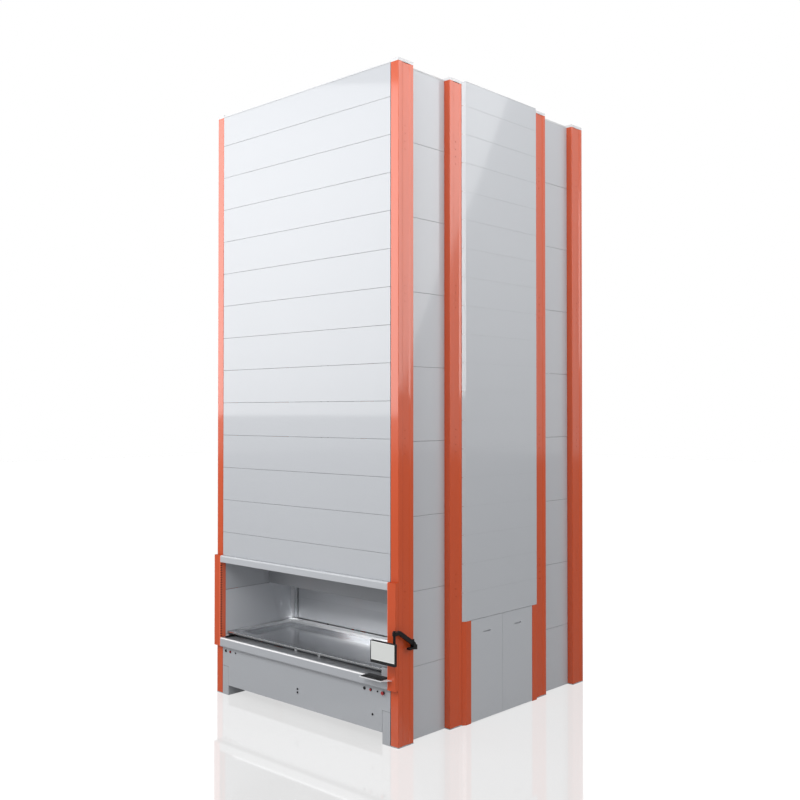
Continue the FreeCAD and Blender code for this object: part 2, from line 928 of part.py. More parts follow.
def control(name, x, z, radius):
    """Moving part of one control: a button's cap, a stop's mushroom head or a lock's slotted core."""
    inside = front + bezel_barrel
    if name == "emergency_stop":
        neck_front = front - bezel_stand - mushroom_neck
        neck = rod(radius, Vector(x, neck_front, z), Vector(x, inside, z))
        head = rod(mushroom_radius, Vector(x, neck_front - mushroom_height, z), Vector(x, neck_front, z))
        rims = [edge for edge in head.Edges if edge.Curve.TypeId == "Part::GeomCircle"]
        front_rim = min(rims, key=lambda edge: edge.CenterOfMass.y)
        return neck.fuse(head.makeFillet(mushroom_rounding, [front_rim]))
    if name.startswith("button"):
        return rod(radius, Vector(x, front - button_stand, z), Vector(x, inside, z))
    core = rod(radius, Vector(x, front - bezel_stand - core_stand, z), Vector(x, inside, z))
    half = key_slot_width / 2
    slot = block(x - half, x + half, front - 2 * bezel_stand, front, z - radius + key_slot_margin,
                 z + radius - key_slot_margin)
    return core.cut(slot)


# ---- trays and rails ----
def tray(y_middle, rim, slots):
    """Sheet tray: flat pan, upright walls, flange with a lip, and a pull lug under each end's flange."""
    half_y = tray_depth / 2
    pan_x = tray_half_width - tray_side_flange
    pan_y = half_y - tray_end_flange
    low = rim - tray_height
    plate = block(-tray_half_width, tray_half_width, y_middle - half_y, y_middle + half_y, rim - tray_lip,
                  rim)
    under = block(-tray_half_width + tray_sheet, tray_half_width - tray_sheet, y_middle - half_y + tray_sheet,
                  y_middle + half_y - tray_sheet, rim - 2 * tray_lip, rim - tray_sheet)
    pan = block(-pan_x, pan_x, y_middle - pan_y, y_middle + pan_y, low, rim - tray_sheet / 2)
    hollow = block(-pan_x + tray_sheet, pan_x - tray_sheet, y_middle - pan_y + tray_sheet,
                   y_middle + pan_y - tray_sheet, low + tray_sheet, rim + tray_sheet)
    body = plate.cut(under).fuse(pan).cut(hollow)
    lugs = []
    for end in (-1, 1):
        for side in (-1, 1):
            y = y_middle + end * (half_y - lug_inset)
            x = side * lug_place
            lugs.append(block(x - lug_width / 2, x + lug_width / 2, y - lug_sheet / 2, y + lug_sheet / 2,
                              rim - lug_drop, rim - tray_sheet / 2))
    body = body.fuse(lugs).removeSplitter()
    if not slots:
        return body
    return body.cut(tray_slots(y_middle, rim))


def tray_slots(y_middle, rim):
    """Slots along the inner edge of the flange, on all four sides."""
    x_row = tray_half_width - tray_side_flange + slot_inset + slot_width / 2
    y_row = tray_depth / 2 - tray_end_flange + slot_inset + slot_width / 2
    tools = []
    for i in range(int(2 * x_row / slot_pitch)):
        x = (i + 0.5) * slot_pitch - int(2 * x_row / slot_pitch) * slot_pitch / 2
        for side in (-1, 1):
            y = y_middle + side * y_row
            tools.append(block(x - slot_length / 2, x + slot_length / 2, y - slot_width / 2,
                               y + slot_width / 2, rim - 2 * tray_sheet, rim + tray_sheet))
    for i in range(int(2 * y_row / slot_pitch)):
        y = y_middle + (i + 0.5) * slot_pitch - int(2 * y_row / slot_pitch) * slot_pitch / 2
        for side in (-1, 1):
            x = side * x_row
            tools.append(block(x - slot_width / 2, x + slot_width / 2, y - slot_length / 2,
                               y + slot_length / 2, rim - 2 * tray_sheet, rim + tray_sheet))
    return tools


def rail(y0, y1, rim, plane):
    """Angle rail on the right side, under the pan of a tray, with its leg against the given plane."""
    top = rim - tray_height - rail_play
    x0 = tray_half_width - tray_side_flange - rail_bearing
    shelf = block(x0, plane, y0, y1, top - rail_sheet, top)
    leg = block(plane - rail_sheet, plane, y0, y1, top - rail_leg, top)
    return shelf.fuse(leg).removeSplitter()


def storage_levels():
    """Middle of the stack and rim height of every stored tray."""
    places = []
    for y, first in ((-tray_shift, front_first_level), (tray_shift, rear_first_level)):
        level = first
        while level <= post_height - stack_top_room:
            places.append((y, level))
            level += tray_pitch
    return places


def storage_rails():
    half = tray_depth / 2
    return both_sides([rail(y - half, y + half, rim, inner) for y, rim in storage_levels()])


def stored_trays():
    return [tray(y, rim, False) for y, rim in storage_levels()]


def bay_rails():
    """Rails of the tray in the bay, from behind the sill to the lift."""
    return both_sides([rail(sill_back + seam, -tray_shift + tray_depth / 2, tray_rim_level, inner)])


# ---- lift ----
def lift_masts():
    """Mast in each corner of the shaft, with a guide fin and clips to the upright beside it."""
    y0 = shaft_half
    x_mid = inner + mast_width / 2
    tube = block(inner, inner + mast_width, y0, y0 + mast_depth, 0, post_height - mast_top_gap)
    bore = block(inner + mast_wall, inner + mast_width - mast_wall, y0 + mast_wall,
                 y0 + mast_depth - mast_wall, -mast_wall, post_height)
    fin = block(x_mid - fin_thickness / 2, x_mid + fin_thickness / 2, y0 - fin_reach, y0 + mast_wall / 2, 0,
                post_height - mast_top_gap)
    pieces = [tube.cut(bore).fuse(fin).removeSplitter()]
    z0 = mast_clip_first
    while z0 + mast_clip_height < post_height - mast_top_gap:
        pieces.append(block(inner + mast_wall, inner + mast_width - mast_wall, y0 + mast_depth,
                            y0 + mast_room, z0, z0 + mast_clip_height))
        z0 += mast_clip_pitch
    front_pieces = [piece.mirror(Vector(0, 0, 0), Vector(0, 1, 0)) for piece in pieces]
    return both_sides(pieces + front_pieces)


def pulley_shaft(level):
    """Shaft across the cabinet with a flanged belt pulley near each end."""
    end = belt_plane + pulley_width / 2 + shaft_overhang
    shaft = rod(shaft_radius, Vector(-end, 0, level), Vector(end, 0, level))
    for side in (-1, 1):
        x0 = side * belt_plane - pulley_width / 2
        x1 = x0 + pulley_width
        shaft = shaft.fuse(rod(pulley_radius, Vector(x0, 0, level), Vector(x1, 0, level)))
        for x in (x0, x1 - pulley_flange):
            shaft = shaft.fuse(rod(flange_radius, Vector(x, 0, level), Vector(x + pulley_flange, 0, level)))
    return [shaft.removeSplitter()]


def belt_loop(radius, x0, x1):
    """Solid with the outline of a belt around the two pulleys."""
    ends = [rod(radius, Vector(x0, 0, z), Vector(x1, 0, z)) for z in (drive_level, idler_level)]
    return ends[0].fuse([ends[1], block(x0, x1, -radius, radius, drive_level, idler_level)]).removeSplitter()


def lift_belts():
    x0 = belt_plane - pulley_width / 2 + pulley_flange + belt_side_play
    x1 = belt_plane + pulley_width / 2 - pulley_flange - belt_side_play
    inside = belt_loop(pulley_radius + belt_play, x0 - cut_past, x1 + cut_past)
    return both_sides([belt_loop(belt_outer, x0, x1).cut(inside)])


def bearing_blocks():
    """Block on the floor beam and block under the top beam for each end of the two shafts."""
    blocks = []
    x0 = inner - sill_beam_width / 2 - bearing_width / 2
    under_top = post_height - beam_top_gap - sill_beam_height
    for level, z0, z1 in ((drive_level, sill_beam_height, sill_beam_height + bearing_height),
                          (idler_level, under_top - idler_block_height, under_top)):
        body = block(x0, x0 + bearing_width, -bearing_depth / 2, bearing_depth / 2, z0, z1)
        bore = rod(shaft_radius + running_play, Vector(x0 - cut_past, 0, level),
                   Vector(x0 + bearing_width + cut_past, 0, level))
        blocks.append(body.cut(bore))
    return both_sides(blocks)


def gearmotor():
    """Gearbox around the drive shaft, on the floor beam, with its motor alongside."""
    x0 = motor_place - gearbox_width / 2
    x1 = x0 + gearbox_width
    box = block(x0, x1, -gearbox_depth / 2, gearbox_depth / 2, pit_beam_height,
                pit_beam_height + gearbox_height)
    start = Vector(motor_place, 0, drive_level)
    motor = rod(motor_radius, start, start + Vector(0, gearbox_depth / 2 + motor_length, 0))
    bore = rod(shaft_radius + running_play, Vector(x0 - cut_past, 0, drive_level),
               Vector(x1 + cut_past, 0, drive_level))
    return [box.fuse(motor).removeSplitter().cut(bore)]


def carriage_frame():
    """Side plates, cross beams, tray rails and extractor guides of the lift carriage."""
    x0 = liner_plane
    beams = []
    for side in (-1, 1):
        y = side * (carriage_half_depth - crossbeam_inset)
        beams.append(tube_beam(-x0, x0, y - crossbeam_width / 2, y + crossbeam_width / 2, carriage_bottom,
                               carriage_bottom + crossbeam_height, "x"))
    guide_low = carriage_bottom + crossbeam_height
    pairs = [
        block(x0, x0 + carriage_plate, -carriage_half_depth, carriage_half_depth, carriage_bottom,
              carriage_top),
        rail(-carriage_half_depth, carriage_half_depth, tray_rim_level, x0),
        block(guide_place - guide_width / 2, guide_place + guide_width / 2, -carriage_half_depth,
              carriage_half_depth, guide_low, guide_low + guide_height),
    ]
    return beams + both_sides(pairs)


def guide_shoes():
    """Shoe at each corner of the carriage, low and high, running on the mast's fin."""
    x_mid = inner + mast_width / 2
    y1 = shaft_half - shoe_mast_gap
    half = fin_thickness / 2 + shoe_play
    shoes = []
    for z0 in (carriage_bottom, carriage_top - shoe_height):
        body = block(liner_plane + carriage_plate, x_mid + fin_reach, y1 - shoe_length, y1, z0,
                     z0 + shoe_height)
        slot = block(x_mid - half, x_mid + half, shaft_half - fin_reach - shoe_slot_room, y1 + cut_past,
                     z0 - cut_past, z0 + shoe_height + cut_past)
        shoe = body.cut(slot)
        shoes += [shoe, shoe.mirror(Vector(0, 0, 0), Vector(0, 1, 0))]
    return both_sides(shoes)


def belt_clamps():
    """Clamp on each side plate that grips the front run of the lift belt."""
    x0 = liner_plane + carriage_plate
    x1 = belt_plane + pulley_width / 2
    strand = block(x1 - pulley_width + belt_side_play, x1 + cut_past, -belt_outer - belt_play,
                   -pulley_radius, clamp_level - cut_past, clamp_level + clamp_height + cut_past)
    body = block(x0, x1, -belt_outer - clamp_jaw, -pulley_radius + clamp_jaw, clamp_level,
                 clamp_level + clamp_height)
    return both_sides([body.cut(strand)])


def extractor():
    """Cross bar that slides on the carriage's guides, with a hooked arm on each side of the middle."""
    guide_low = carriage_bottom + crossbeam_height
    z0 = guide_low + guide_height
    z1 = z0 + extractor_height
    y0 = -carriage_half_depth + extractor_setback
    bar = block(-extractor_half_width, extractor_half_width, y0, y0 + extractor_bar, z0, z1)
    pieces = []
    tip = -carriage_half_depth + rail_sheet
    for side in (-1, 1):
        x = side * lug_place
        half = extractor_arm_width / 2
        pieces.append(block(x - half, x + half, tip, y0, z0, z1))
        pieces.append(block(x - half, x + half, tip, tip + finger_length, z0, z0 + finger_height))
        guide_x = side * guide_place
        for x0 in (guide_x - guide_width / 2 - extractor_play - rail_sheet,
                   guide_x + guide_width / 2 + extractor_play):
            pieces.append(block(x0, x0 + rail_sheet, y0, y0 + extractor_bar, guide_low + guide_height / 4,
                                z0))
    return [bar.fuse(pieces).removeSplitter()]


# ---- shutter ----
def shutter():
    """Shutter panel between the bay and the shaft, with a groove between its two leaves."""
    y1 = -shaft_half + shutter_thickness
    panel = cassette(-shutter_half_width, shutter_half_width, -shaft_half, y1, shutter_bottom,
                     shutter_bottom + shutter_height, "-y", panel_sheet)
    groove = block(-shutter_half_width - cut_past, shutter_half_width + cut_past, -shaft_half - cut_past,
                   -shaft_half + panel_sheet / 2, shutter_seam_level - shutter_groove / 2,
                   shutter_seam_level + shutter_groove / 2)
    return [panel.cut(groove)]


def shutter_guides():
    """Channel around each edge of the shutter, and a cover strip between it and the mast."""
    y0 = -shaft_half - shutter_play - panel_sheet
    y1 = -shaft_half + shutter_thickness + shutter_play + panel_sheet
    web = shutter_half_width + shutter_side_play + panel_sheet
    lip = web - guide_channel_lip
    run = [(lip, y0), (web, y0), (web, y1), (lip, y1)]
    channel = folded_column(run, panel_sheet, [tight_bend] * len(run), shutter_bottom, guide_top)
    x0 = web + guide_wing_gap
    wing = block(x0, liner_plane - guide_wing_side_gap, y0, y0 + panel_sheet, shutter_bottom, guide_top)
    return both_sides([channel, wing])


def control_cabinet():
    """Electrical enclosure on the floor under the bay: a case and its lid."""
    y0 = control_box_back - control_box_depth
    x1 = control_box_left + control_box_width
    case = cassette(control_box_left, x1, y0, control_box_back, 0, control_box_height, "+y",
                    control_box_sheet)
    lid = block(control_box_left, x1, y0 - control_box_sheet, y0, 0, control_box_height)
    return [case, lid]


# ---- keyboard ----
def keyboard_shelf():
    """Thin shelf on the sill with a folded front lip and a pointed end in front of the cheek."""
    clear_front = bay_front - panel_sheet
    outline = [
        (shelf_left, shelf_back),
        (shelf_left, shelf_front),
        (shelf_right + shelf_nose, shelf_front),
        (outer - shelf_tip_inset, clear_front),
        (shelf_right, clear_front),
        (shelf_right, shelf_back),
    ]
    corners = [Vector(x, y, sill_top) for x, y in outline]
    plate = Part.Face(Part.makePolygon(corners + [corners[0]])).extrude(Vector(0, 0, shelf_sheet))
    lip = block(shelf_left, shelf_right, shelf_front, shelf_front + shelf_sheet,
                sill_top + shelf_sheet - shelf_lip, sill_top + shelf_sheet)
    return [plate.fuse(lip).removeSplitter()]


def keyboard():
    z0 = sill_top + shelf_sheet + rest_gap
    y0 = shelf_front + keyboard_inset
    x0 = shelf_left + keyboard_side
    body = block(x0, x0 + keyboard_width, y0, y0 + keyboard_depth, z0, z0 + keyboard_height)
    uprights_only = [edge for edge in body.Edges if abs(edge.Vertexes[0].Z - edge.Vertexes[1].Z) > 1]
    return [body.makeFillet(keyboard_inset, uprights_only)]


# ---- monitor arm ----
def arm_bracket():
    """Clamp bracket around the rear edge of the front upright, with two ears for the swivel pin."""
    post_back = front + post_depth
    y0 = post_back - bracket_width + bracket_sheet
    plate = block(outer, outer + bracket_sheet, y0, post_back + bracket_sheet, bracket_bottom, bracket_top)
    hook = block(outer - post_lip, outer, post_back, post_back + bracket_sheet, bracket_bottom, bracket_top)
    ears = []
    for z0 in (bracket_bottom, ear_top - ear_sheet):
        tongue = block(outer, arm_plane, swivel_y - swivel_barrel_radius, swivel_y + swivel_barrel_radius, z0,
                       z0 + ear_sheet)
        nose = rod(swivel_barrel_radius, Vector(arm_plane, swivel_y, z0),
                   Vector(arm_plane, swivel_y, z0 + ear_sheet))
        ears += [tongue, nose]
    bore = rod(swivel_pin_radius + running_play, Vector(arm_plane, swivel_y, bracket_bottom - cut_past),
               Vector(arm_plane, swivel_y, bracket_top + cut_past))
    return [plate.fuse([hook] + ears).removeSplitter().cut(bore)]


def arm_base():
    """Swivel barrel with its pin, and a fork that carries the low pivot of the lift link."""
    z0 = bracket_bottom + ear_sheet + ear_play
    z1 = ear_top - ear_sheet - ear_play
    barrel = rod(swivel_barrel_radius, Vector(arm_plane, swivel_y, z0), Vector(arm_plane, swivel_y, z1))
    pin = rod(swivel_pin_radius, Vector(arm_plane, swivel_y, bracket_bottom),
              Vector(arm_plane, swivel_y, ear_top))
    half = link_width / 2 + cheek_gap + cheek_sheet
    y0 = link_low_y - base_reach
    beam = block(arm_plane - half, arm_plane + half, y0, swivel_y - swivel_barrel_radius / 2, z0, z1)
    base = barrel.fuse([pin, beam])
    gap = block(arm_plane - half + cheek_sheet, arm_plane + half - cheek_sheet, y0 - cut_past,
                link_low_y + link_radius + cheek_margin, base_floor, link_low_z + 2 * link_radius)
    step = block(arm_plane - half - cut_past, arm_plane + half + cut_past, y0 - cut_past,
                 link_low_y - link_radius + cheek_margin, base_floor, z1 + cut_past)
    for side in (-1, 1):
        x0 = arm_plane + side * (half - cheek_sheet / 2) - cheek_sheet / 2
        reach = link_radius - cheek_margin
        cheek = rod(reach, Vector(x0, link_low_y, link_low_z),
                    Vector(x0 + cheek_sheet, link_low_y, link_low_z))
        web = block(x0, x0 + cheek_sheet, link_low_y - reach, link_low_y + reach, z0, link_low_z)
        base = base.fuse([cheek, web])
    pivot = rod(pivot_pin_radius, Vector(arm_plane - half, link_low_y, link_low_z),
                Vector(arm_plane + half, link_low_y, link_low_z))
    return [base.cut([gap, step]).fuse(pivot).removeSplitter()]


def arm_link():
    """Lift link with rounded ends and a bore at each pivot."""
    low = Vector(arm_plane - link_width / 2, link_low_y, link_low_z)
    high = Vector(arm_plane - link_width / 2, link_high_y, link_high_z)
    across = Vector(link_width, 0, 0)
    along = high - low
    side = along.cross(Vector(1, 0, 0)).normalize() * link_radius
    corners = [low + side, high + side, high - side, low - side]
    middle = Part.Face(Part.makePolygon(corners + [corners[0]])).extrude(across)
    bores = []
    for end in (low, high):
        middle = middle.fuse(rod(link_radius, end, end + across))
        bores.append(rod(pivot_pin_radius + running_play, end - across, end + across * 2))
    return [middle.removeSplitter().cut(bores)]


def arm_knuckle():
    """Fork on the high pivot of the link that carries the vertical head tube."""
    half = link_width / 2 + cheek_gap + cheek_sheet
    pivot = rod(pivot_pin_radius, Vector(arm_plane - half, link_high_y, link_high_z),
                Vector(arm_plane + half, link_high_y, link_high_z))
    low = link_high_z - knuckle_height / 2
    high = link_high_z + knuckle_height / 2
    pieces = [pivot]
    neck_y = link_high_y - link_radius - cheek_gap
    for side in (-1, 1):
        x0 = arm_plane + side * (half - cheek_sheet / 2) - cheek_sheet / 2
        start = Vector(x0, link_high_y, link_high_z)
        pieces.append(rod(knuckle_height / 2, start, start + Vector(cheek_sheet, 0, 0)))
        pieces.append(block(x0, x0 + cheek_sheet, neck_y, link_high_y, low, high))
    pieces.append(block(arm_plane - half, arm_plane + half, head_y, neck_y, low, high))
    pieces.append(rod(half, Vector(arm_plane, head_y, low), Vector(arm_plane, head_y, high)))
    bore = rod(head_pin_radius + running_play, Vector(arm_plane, head_y, low - cut_past),
               Vector(arm_plane, head_y, high + cut_past))
    return [pieces[0].fuse(pieces[1:]).removeSplitter().cut(bore)]


def arm_head():
    """Vertical tube hanging from the knuckle, with a bar to the middle of the monitor and its tilt pin."""
    low = link_high_z - knuckle_height / 2 - ear_play
    level = monitor_bottom + monitor_height / 2
    bottom = level - head_tube_radius
    pin = rod(head_pin_radius, Vector(arm_plane, head_y, low - ear_play), Vector(arm_plane, head_y, head_top))
    cap = rod(head_tube_radius, Vector(arm_plane, head_y, link_high_z + knuckle_height / 2 + ear_play),
              Vector(arm_plane, head_y, head_top))
    tube = rod(head_tube_radius, Vector(arm_plane, head_y, bottom), Vector(arm_plane, head_y, low))
    middle = monitor_left + monitor_width / 2
    half = tilt_lug_width / 2 + tilt_ear_gap + tilt_ear
    bar = block(middle - half, arm_plane, head_y - head_tube_radius, head_y + head_tube_radius, bottom,
                level + head_tube_radius)
    pieces = [cap, tube, bar]
    for side in (-1, 1):
        x0 = middle + side * (half - tilt_ear / 2) - tilt_ear / 2
        start = Vector(x0, tilt_y, level)
        pieces.append(rod(tilt_lug_radius, start, start + Vector(tilt_ear, 0, 0)))
        pieces.append(block(x0, x0 + tilt_ear, tilt_y, head_y, level - tilt_lug_radius,
                            level + tilt_lug_radius))
    pieces.append(rod(tilt_pin_radius, Vector(middle - half, tilt_y, level),
                      Vector(middle + half, tilt_y, level)))
    return [pin.fuse(pieces).removeSplitter()]


def monitor():
    """Monitor case with a recessed screen in front and a tilt lug on its back."""
    x1 = monitor_left + monitor_width
    y0 = monitor_back - monitor_thickness
    z1 = monitor_bottom + monitor_height
    case = block(monitor_left, x1, y0, monitor_back, monitor_bottom, z1)
    corners = [edge for edge in case.Edges if abs(edge.Vertexes[0].Y - edge.Vertexes[1].Y) > 1]
    case = case.makeFillet(monitor_corner, corners)
    recess = block(monitor_left + screen_side, x1 - screen_side, y0 - cut_past, y0 + screen_depth,
                   monitor_bottom + screen_chin, z1 - screen_top)
    level = monitor_bottom + monitor_height / 2
    middle = monitor_left + monitor_width / 2
    lug_start = Vector(middle - tilt_lug_width / 2, tilt_y, level)
    across = Vector(tilt_lug_width, 0, 0)
    nose = rod(tilt_lug_radius, lug_start, lug_start + across)
    web = block(lug_start.x, lug_start.x + tilt_lug_width, monitor_back - cut_past, tilt_y,
                level - tilt_lug_radius, level + tilt_lug_radius)
    bore = rod(tilt_pin_radius + running_play, lug_start - across, lug_start + across * 2)
    return [case.cut(recess).fuse([nose, web]).removeSplitter().cut(bore)]


def main():
    os.makedirs("parts", exist_ok=True)
    write("uprights", uprights())
    write("upright_feet", upright_feet())
    write("top_caps", top_caps())
    write("frame_beams", frame_beams())
    write("front_panels", front_panels())
    write("rear_panels", rear_panels())
    write("side_panels", side_panels())
    write("shaft_covers", shaft_covers())
    write("shaft_jambs", shaft_jambs())
    write("roof_panels", roof_panels())
    panel = service_panel()
    front_panel = panel.mirror(Vector(0, 0, 0), Vector(0, 1, 0))
    write("service_panel_right_rear", [panel])
    write("service_panel_right_front", [front_panel])
    write("service_panel_left_rear", mirrored([panel]))
    write("service_panel_left_front", mirrored([front_panel]))
    write("access_cheeks", access_cheeks())
    write("sill", sill())
    write("lintel", lintel())
    write("sill_ends", sill_ends())
    write("bay_sensors", bay_sensors())
    write("bay_liners", bay_liners())
    write("bay_hood", bay_hood())
    write("front_feet", front_feet())
    write("lower_front_panel", lower_front_panel())
    write("control_bezels", control_bezels())
    for name, x, z, radius in controls():
        write(name, [control(name, x, z, radius)])
    write("access_tray", [tray(-tray_shift, tray_rim_level, True)])
    write("bay_rails", bay_rails())
    write("storage_rails", storage_rails())
    write("stored_trays", stored_trays())
    write("lift_masts", lift_masts())
    write("drive_shaft", pulley_shaft(drive_level))
    write("top_shaft", pulley_shaft(idler_level))
    write("lift_belts", lift_belts())
    write("bearing_blocks", bearing_blocks())
    write("gearmotor", gearmotor())
    write("carriage_frame", carriage_frame())
    write("guide_shoes", guide_shoes())
    write("belt_clamps", belt_clamps())
    write("extractor", extractor())
    write("shutter", shutter())
    write("shutter_guides", shutter_guides())
    write("control_cabinet", control_cabinet())
    write("keyboard_shelf", keyboard_shelf())
    write("keyboard", keyboard())
    write("arm_bracket", arm_bracket())
    write("arm_base", arm_base())
    write("arm_link", arm_link())
    write("arm_knuckle", arm_knuckle())
    write("arm_head", arm_head())
    write("monitor", monitor())


main()
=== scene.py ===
import math

import bmesh
import bpy
import numpy as np
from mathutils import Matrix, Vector


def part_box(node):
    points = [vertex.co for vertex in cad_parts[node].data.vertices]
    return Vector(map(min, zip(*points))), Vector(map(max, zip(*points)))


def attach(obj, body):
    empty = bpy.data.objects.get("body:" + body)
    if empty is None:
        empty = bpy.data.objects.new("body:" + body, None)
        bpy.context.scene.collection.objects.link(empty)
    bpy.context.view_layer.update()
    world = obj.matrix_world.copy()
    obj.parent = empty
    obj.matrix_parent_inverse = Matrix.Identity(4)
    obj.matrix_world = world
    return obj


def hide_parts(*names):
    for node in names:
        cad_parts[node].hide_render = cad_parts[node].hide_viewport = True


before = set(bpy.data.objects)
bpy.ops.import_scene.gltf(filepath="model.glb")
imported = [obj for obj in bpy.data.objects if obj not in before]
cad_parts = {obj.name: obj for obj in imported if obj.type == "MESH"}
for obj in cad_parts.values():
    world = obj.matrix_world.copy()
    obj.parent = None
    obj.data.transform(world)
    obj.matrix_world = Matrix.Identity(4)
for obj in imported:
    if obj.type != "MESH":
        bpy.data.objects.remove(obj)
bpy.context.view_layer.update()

# ---- uprights ----
# Eight folded steel uprights with a groove, a recessed strip of bolt holes and a bevel along the rear edge.
# They are powder coated in orange, with a fine orange-peel skin, faint clouding and dust near the floor.


def srgb(red, green, blue):
    """Linear colour of a screen colour: each channel over 255, then the inverse of the screen's curve."""
    channel = np.array([red, green, blue]) / 255.0
    linear = np.where(channel <= 0.04045, channel / 12.92, ((channel + 0.055) / 1.055) ** 2.4)
    return (*linear.tolist(), 1.0)


def add(tree, kind, sockets=None, **settings):
    """New shader node with its settings; each socket is given its value, or the output that feeds it."""
    made = tree.nodes.new("ShaderNode" + kind)
    for name, value in settings.items():
        setattr(made, name, value)
    for name, value in (sockets or {}).items():
        if isinstance(value, bpy.types.NodeSocket):
            tree.links.new(value, made.inputs[name])
        else:
            made.inputs[name].default_value = value
    return made


def maths(tree, operation, *values):
    """Result of one step of arithmetic on outputs and numbers."""
    return add(tree, "Math", dict(enumerate(values)), operation=operation).outputs[0]


def ramp(tree, value, start, end, top=1.0, curve="LINEAR"):
    """Mask that goes from 0 where the value is at start to top where it is at end."""
    sockets = {"Value": value, "From Min": start, "From Max": end, "To Max": top}
    return add(tree, "MapRange", sockets, interpolation_type=curve).outputs[0]


def blend(tree, mask, base, over):
    """Colour that goes from base to over as the mask goes from 0 to 1."""
    return add(tree, "Mix", {0: mask, 6: base, 7: over}, data_type="RGBA").outputs[2]


def noise(tree, place, scale, detail):
    """Value of a smooth noise at a place."""
    return add(tree, "TexNoise", {"Vector": place, "Scale": scale, "Detail": detail}).outputs[0]


def along(tree, place):
    """Outputs X, Y and Z of a place."""
    return add(tree, "SeparateXYZ", {0: place}).outputs


def surface_group(name, inputs):
    """Empty node group that reads a place and other named inputs, with the outputs of its input node."""
    tree = bpy.data.node_groups.new(name, "ShaderNodeTree")
    tree.interface.new_socket("Place", in_out="INPUT", socket_type="NodeSocketVector")
    for label, value in inputs.items():
        kind = {3: "Vector", 4: "Color"}[len(value)] if isinstance(value, tuple) else "Float"
        socket = tree.interface.new_socket(label, in_out="INPUT", socket_type="NodeSocket" + kind)
        socket.default_value = value
    return tree, tree.nodes.new("NodeGroupInput").outputs


def put_out(tree, colour, roughness, height):
    """Closes a surface group with its three outputs."""
    made = (("Colour", "Color", colour), ("Roughness", "Float", roughness), ("Height", "Float", height))
    for label, kind, _ in made:
        tree.interface.new_socket(label, in_out="OUTPUT", socket_type="NodeSocket" + kind)
    result = tree.nodes.new("NodeGroupOutput")
    for label, _, source in made:
        tree.links.new(source, result.inputs[label])
    return tree


def paint_group():
    """Powder coat: a colour clouded by slow noise, dusty near the floor, uneven gloss, orange-peel height."""
    tree, given = surface_group("paint_skin", {
        "Colour": (0.8, 0.8, 0.8, 1.0), "Dust Colour": srgb(150, 146, 138), "Clouding": 0.05, "Dust": 0.3,
        "Gloss Base": 0.35})
    place = given["Place"]
    dust_top, patch_start, patch_full, gloss_spread, dust_dulling = 0.5, 0.35, 0.7, 0.10, 0.25
    cloud = noise(tree, place, scale=0.8, detail=3.0)
    fine = noise(tree, place, scale=26.0, detail=4.0)
    orange_peel = noise(tree, place, scale=420.0, detail=2.0)
    value = maths(tree, "MULTIPLY_ADD", maths(tree, "SUBTRACT", cloud, 0.5), given["Clouding"], 1.0)
    clouded = add(tree, "HueSaturation", {"Color": given["Colour"], "Value": value}).outputs[0]
    low = ramp(tree, along(tree, place)["Z"], dust_top, 0.0)
    patches = ramp(tree, fine, patch_start, patch_full)
    dust = maths(tree, "MULTIPLY", maths(tree, "MULTIPLY", low, patches), given["Dust"])
    uneven = maths(tree, "MULTIPLY_ADD", fine, gloss_spread, given["Gloss Base"])
    return put_out(tree, blend(tree, dust, clouded, given["Dust Colour"]),
                   maths(tree, "MULTIPLY_ADD", dust, dust_dulling, uneven), orange_peel)


paint_skin = paint_group()


def finish_material(name, group, given, strength, depth, **shader):
    """Material: a Principled shader fed by a group that reads Object coordinates, with its height as bump."""
    material = bpy.data.materials.new(name)
    material.use_nodes = True
    tree = material.node_tree
    place = add(tree, "TexCoord").outputs["Object"]
    skin = add(tree, "Group", {"Place": place, **given}, node_tree=group).outputs
    relief = add(tree, "Bump", {"Strength": strength, "Distance": depth, "Height": skin["Height"]})
    principled = tree.nodes["Principled BSDF"].inputs
    tree.links.new(skin["Colour"], principled["Base Color"])
    tree.links.new(skin["Roughness"], principled["Roughness"])
    tree.links.new(relief.outputs[0], principled["Normal"])
    for label, value in shader.items():
        principled[label.replace("_", " ")].default_value = value
    return material


def dress(material, *names):
    """Gives CAD nodes their material."""
    for name in names:
        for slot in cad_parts[name].material_slots:
            slot.material = material


orange = srgb(212, 82, 34)
orange_gloss = {"Coat_Weight": 0.7, "Coat_Roughness": 0.08, "Coat_IOR": 1.65, "Specular_IOR_Level": 0.3}
orange_paint = finish_material(
    "orange_powder_coat", paint_skin,
    {"Colour": orange, "Clouding": 0.06, "Dust": 0.06, "Gloss Base": 0.36},
    strength=0.15, depth=0.0003, **orange_gloss)
dress(orange_paint, "uprights", "shaft_jambs")

# ---- frame, masts and rails ----
# Foot plates, cross beams, lift masts and angle rails, all of hot-dip galvanised steel.
# The zinc has frozen into flat crystals a centimetre or two wide, each with its own tone and gloss.


def spangle_group():
    """Zinc crystals: each Voronoi cell has a tone and gloss of its own, stained by slow noise."""
    tree, given = surface_group("zinc_spangle", {
        "Light Tone": srgb(205, 208, 212), "Dark Tone": srgb(150, 154, 160), "Crystals": 70.0,
        "Gloss Base": 0.3})
    place, gloss_spread = given["Place"], 0.18
    cells = add(tree, "TexVoronoi", {"Vector": place, "Scale": given["Crystals"], "Randomness": 1.0}).outputs
    tone = add(tree, "SeparateColor", {0: cells["Color"]}).outputs
    stained = maths(tree, "MULTIPLY", tone[0], noise(tree, place, scale=3.0, detail=4.0))
    return put_out(tree, blend(tree, stained, given["Light Tone"], given["Dark Tone"]),
                   maths(tree, "MULTIPLY_ADD", tone[1], gloss_spread, given["Gloss Base"]), cells["Distance"])


